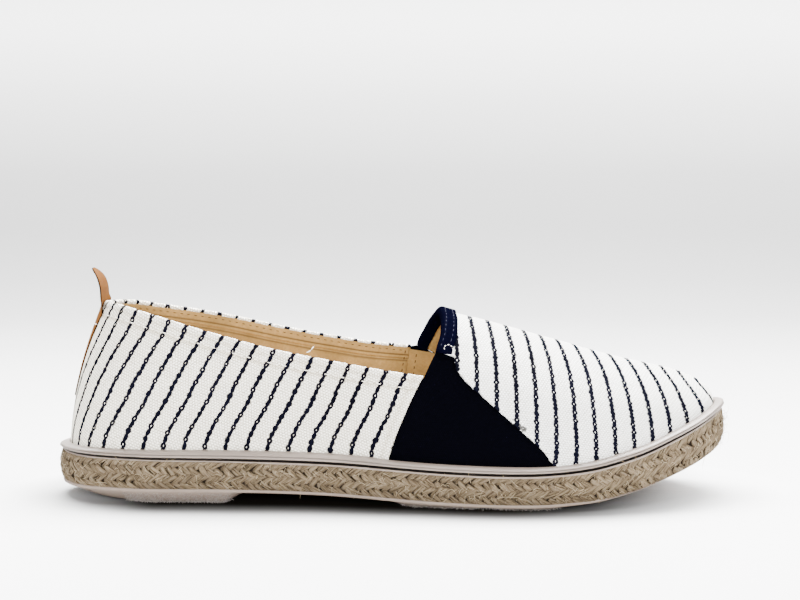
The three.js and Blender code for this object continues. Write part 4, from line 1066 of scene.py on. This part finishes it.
# Section of the folded tape, outer face first: distance forward of the vamp's first edge, depth
outline = [(BINDING_WIDTH, near), (BINDING_WIDTH + 0.05, near + 0.35), (BINDING_WIDTH - 0.25, far - 0.1),
           (BINDING_WIDTH - 0.9, far), (4.9, far - 0.14), (3.9, far), (2.6, far - 0.04)]
outline += [(fold_at - (half_fold + far) * 0.68 * math.sin(t), mid_depth + (half_fold + far) * math.cos(t))
            for t in turn]
outline += [(2.6, -UPPER_WALL - far), (BINDING_INSIDE - 0.6, -UPPER_WALL - far),
            (BINDING_INSIDE, -UPPER_WALL - far + 0.1), (BINDING_INSIDE + 0.05, -UPPER_WALL - near - 0.2),
            (BINDING_INSIDE, -UPPER_WALL - near), (2.6, -UPPER_WALL - near), (fold_at, -UPPER_WALL - near)]
outline += [(fold_at - 0.4, -UPPER_WALL), (fold_at - 0.4, 0.0), (fold_at, near), (3.6, near)]
outline = np.array(outline)
throat = []
for side in (1, -1):
    shares = np.linspace(0, 1, 60)
    shares = shares if side > 0 else shares[::-1][1:]
    foot = THROAT_FOOT[side] - 0.006
    throat.append((np.full(shares.size, side), foot + (1 - foot) * shares,
                   along(VAMP_REAR[side], THROAT_FOOT[side] + (1 - THROAT_FOOT[side]) * shares)))
sign, up, edge = (np.concatenate(q) for q in zip(*throat))
pace = np.linalg.norm(last(sign * (edge + 0.02), up) - last(sign * edge, up), axis=-1) / 0.02


def on_throat(forward, depth):
    """Points round the throat, a distance forward of the vamp's edge and at a depth."""
    where = edge[:, None] + np.asarray(forward) / pace[:, None]
    return skin(sign[:, None] * where, np.broadcast_to(up[:, None], where.shape), np.asarray(depth) + 0 * where)


folded = on_throat(outline[:, 0], outline[:, 1])
ends = [folded[at].mean(0, keepdims=True).repeat(len(outline), 0)[None] for at in (0, -1)]
folded = np.concatenate([ends[0], folded, ends[1]])
run = np.concatenate([[0], np.cumsum(np.linalg.norm(np.diff(folded[:, 5], axis=0), axis=1))])
uv = np.stack(np.broadcast_arrays(run[:, None], np.arange(len(outline)) * 0.7), -1)
binding = mesh_object("binding", in_row(folded).reshape(-1, 3), grid_faces(len(folded), len(outline),
                      loop_columns=True), tape_cloth, uv=uv.reshape(-1, 2))
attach(binding, "root")
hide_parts("throat_binding")

navy_thread, tree, shader = finish_of("navy_sewing_thread", Roughness=0.8, IOR=1.5, Specular_IOR_Level=0.2)
# Spun thread, a paler navy than the tape.
shader.inputs["Base Color"].default_value = linear("#070920")
for forward, name in ((1.5, "back"), (4.9, "front")):
    line = on_throat(np.array([forward]), np.array([far - 0.1]))[:, 0]
    below = on_throat(np.array([forward]), np.array([0.0]))[:, 0]
    row_of = stitches(f"binding_stitches_{name}", line, line - below, 2.9, 0.6, 0.1, 0.14, navy_thread)
    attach(row_of, "root")

# Path of the bartack on the binding's outer foot: an open hook, as place and share up the rib
HOOK = np.array([[-0.5590, 0.546], [-0.5567, 0.566], [-0.5525, 0.5755], [-0.5480, 0.570], [-0.5455, 0.553],
                 [-0.5460, 0.535], [-0.5490, 0.522]])
step = np.linspace(0, len(HOOK) - 1, 30)
tack_place, tack_up = (np.interp(step, np.arange(len(HOOK)), HOOK[:, column]) for column in (0, 1))
tack = stitches("bartack", skin(tack_place, tack_up, far - 0.05), axes(tack_place, tack_up)[2], 1.5, 0.6, 0.1,
                0.13, white_thread)
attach(tack, "root")


# HEEL STRIP
# Vegetable-tanned leather strip sewn over the back seam. It tapers down the heel and ends above the collar in a
# free tab that twists and leans back; its cut edges are burnished dark.

STRIP_WIDTH, STRIP_THICKNESS, STRIP_DROP, TAB_HEIGHT, TAB_TWIST = 15.0, 0.9, 42.0, 14.0, 0.08
# Share of the strip's length: shares of its width and of its thickness
STRIP_TAPER = [[0, 0.30, 0.45], [0.07, 0.5, 0.45], [0.5, 0.62, 0.45], [0.78, 0.75, 0.5], [0.9, 0.9, 0.7],
               [1, 1, 1]]
# Free tab: step, rise and lean back as shares of its height, share of the strip's width
TAB = [[0, 0, 0, 1], [1, 0.30, 0.01, 1], [2, 0.58, 0.07, 0.96], [3, 0.80, 0.18, 0.78], [4, 0.93, 0.29, 0.5],
       [5, 1.0, 0.36, 0.22]]
leather, tree, shader = finish_of("vegetable_tanned_leather", Roughness=0.7, IOR=1.5, Specular_IOR_Level=0.01)
# Calf leather, vegetable tanned: honey brown with a fine pebbled grain, darkened along the cut edges.
where = add(tree, "TexCoord", out=3)
grain = add(tree, "TexVoronoi", {0: where, "Scale": 1500.0})
mottle = add(tree, "TexNoise", {0: where, "Scale": 130.0, "Detail": 5.0})
hide = add(tree, "Mix", {0: mottle, 6: linear("#472B13"), 7: linear("#613E1D")}, out=2, data_type="RGBA")
cut = add(tree, "Attribute", attribute_name="cut", out=2)
tree.links.new(add(tree, "Mix", {0: cut, 6: hide, 7: linear("#130700")}, out=2, data_type="RGBA"),
               shader.inputs["Base Color"])
tree.links.new(add(tree, "Bump", {"Strength": 0.25, "Distance": 0.0002, "Height": grain}), shader.inputs["Normal"])

across = np.sin(np.linspace(-1, 1, 21) * math.pi / 2)[None, :]
share = np.linspace(0, 1, 50)[:, None]
heel = np.array(0.0)
foot, top = float(at_height(heel, HEEL_HEIGHT - STRIP_DROP - GAP)), float(collar_share(heel))
pace = float(np.linalg.norm(last(0.02, top) - last(0.0, top)) / 0.02)
up = foot + (top - foot) * share
place = across * STRIP_WIDTH / 2 * along(STRIP_TAPER, share) / pace
thick = STRIP_THICKNESS * along(STRIP_TAPER, share, 2)
crown = 1 - 0.35 * np.abs(across) ** 6
outer_low = skin(place, up + 0 * place, 0.1 + thick * crown)
inner_low = skin(place, up + 0 * place, 0.06)
# Towards the collar the strip comes away from the heel, most of all its near edge, which swings back.
parting = along([[0.84, 0], [1, 1]], share)[..., None]
spine = inner_low[:, 10:11]
freed = np.array([1.0, 0, 0]) * (spine - inner_low) * np.where(across < 0, 1.0, 0.65)[..., None] * parting
swung = (TAB_TWIST * STRIP_WIDTH / 2 * np.clip(-across, 0, 1))[..., None] * parting
freed = freed + np.array([-1.0, 0, 0]) * swung
outer_low, inner_low = outer_low + freed, inner_low + freed
step = np.linspace(0, 5, 34)[1:, None]
rise, lean_back, width = (along(TAB, step, column) for column in (1, 2, 3))
slope_rise = along(TAB, np.clip(step + 0.05, 0, 5), 1) - along(TAB, np.clip(step - 0.05, 0, 5), 1)
slope_lean = along(TAB, np.clip(step + 0.05, 0, 5), 2) - along(TAB, np.clip(step - 0.05, 0, 5), 2)
tilt = np.arctan2(slope_lean, slope_rise)
base, spine = inner_low[-1:], inner_low[-1:, 10:11]
twisted = np.where(across < 0, 1.0, along([[0, 0], [0.5, 1]], step))
flat_x = TAB_TWIST * base[..., 1] * width
curved_x = (base[..., 0] - spine[..., 0]) * width ** 2
tab_x = spine[..., 0] + curved_x + (flat_x - curved_x) * twisted - lean_back * TAB_HEIGHT
tab_z = spine[..., 2] + (base[..., 2] - spine[..., 2]) * width ** 2 + rise * TAB_HEIGHT
inner_tab = np.stack(np.broadcast_arrays(tab_x, base[..., 1] * width, tab_z), -1)
back = np.stack(np.broadcast_arrays(-np.cos(tilt) * crown, 0.3 * crown, -np.sin(tilt) * crown), -1)
outer = np.concatenate([outer_low, inner_tab + back * STRIP_THICKNESS])
inner = np.concatenate([inner_low, inner_tab])
near_cut = np.clip((np.abs(across) - 0.93) / 0.05, 0, 1) * np.ones((len(outer), 1))
near_cut[-1] = 1
uv = np.stack(np.broadcast_arrays(across, np.arange(len(outer))[:, None] * 0.02), -1)
strip = shell("heel_strip_leather", outer, inner, uv, leather, cut=near_cut)
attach(strip, "root")
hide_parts("heel_strip")

line, within = outer[36], inner[36]
off_strip = (line - within) / np.linalg.norm(line - within, axis=-1)[:, None]
across_strip = stitches("strip_stitches_lower", line, off_strip, 3.2, 0.6, 0.2, 0.22, white_thread)
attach(across_strip, "root")


bpy.context.view_layer.update()
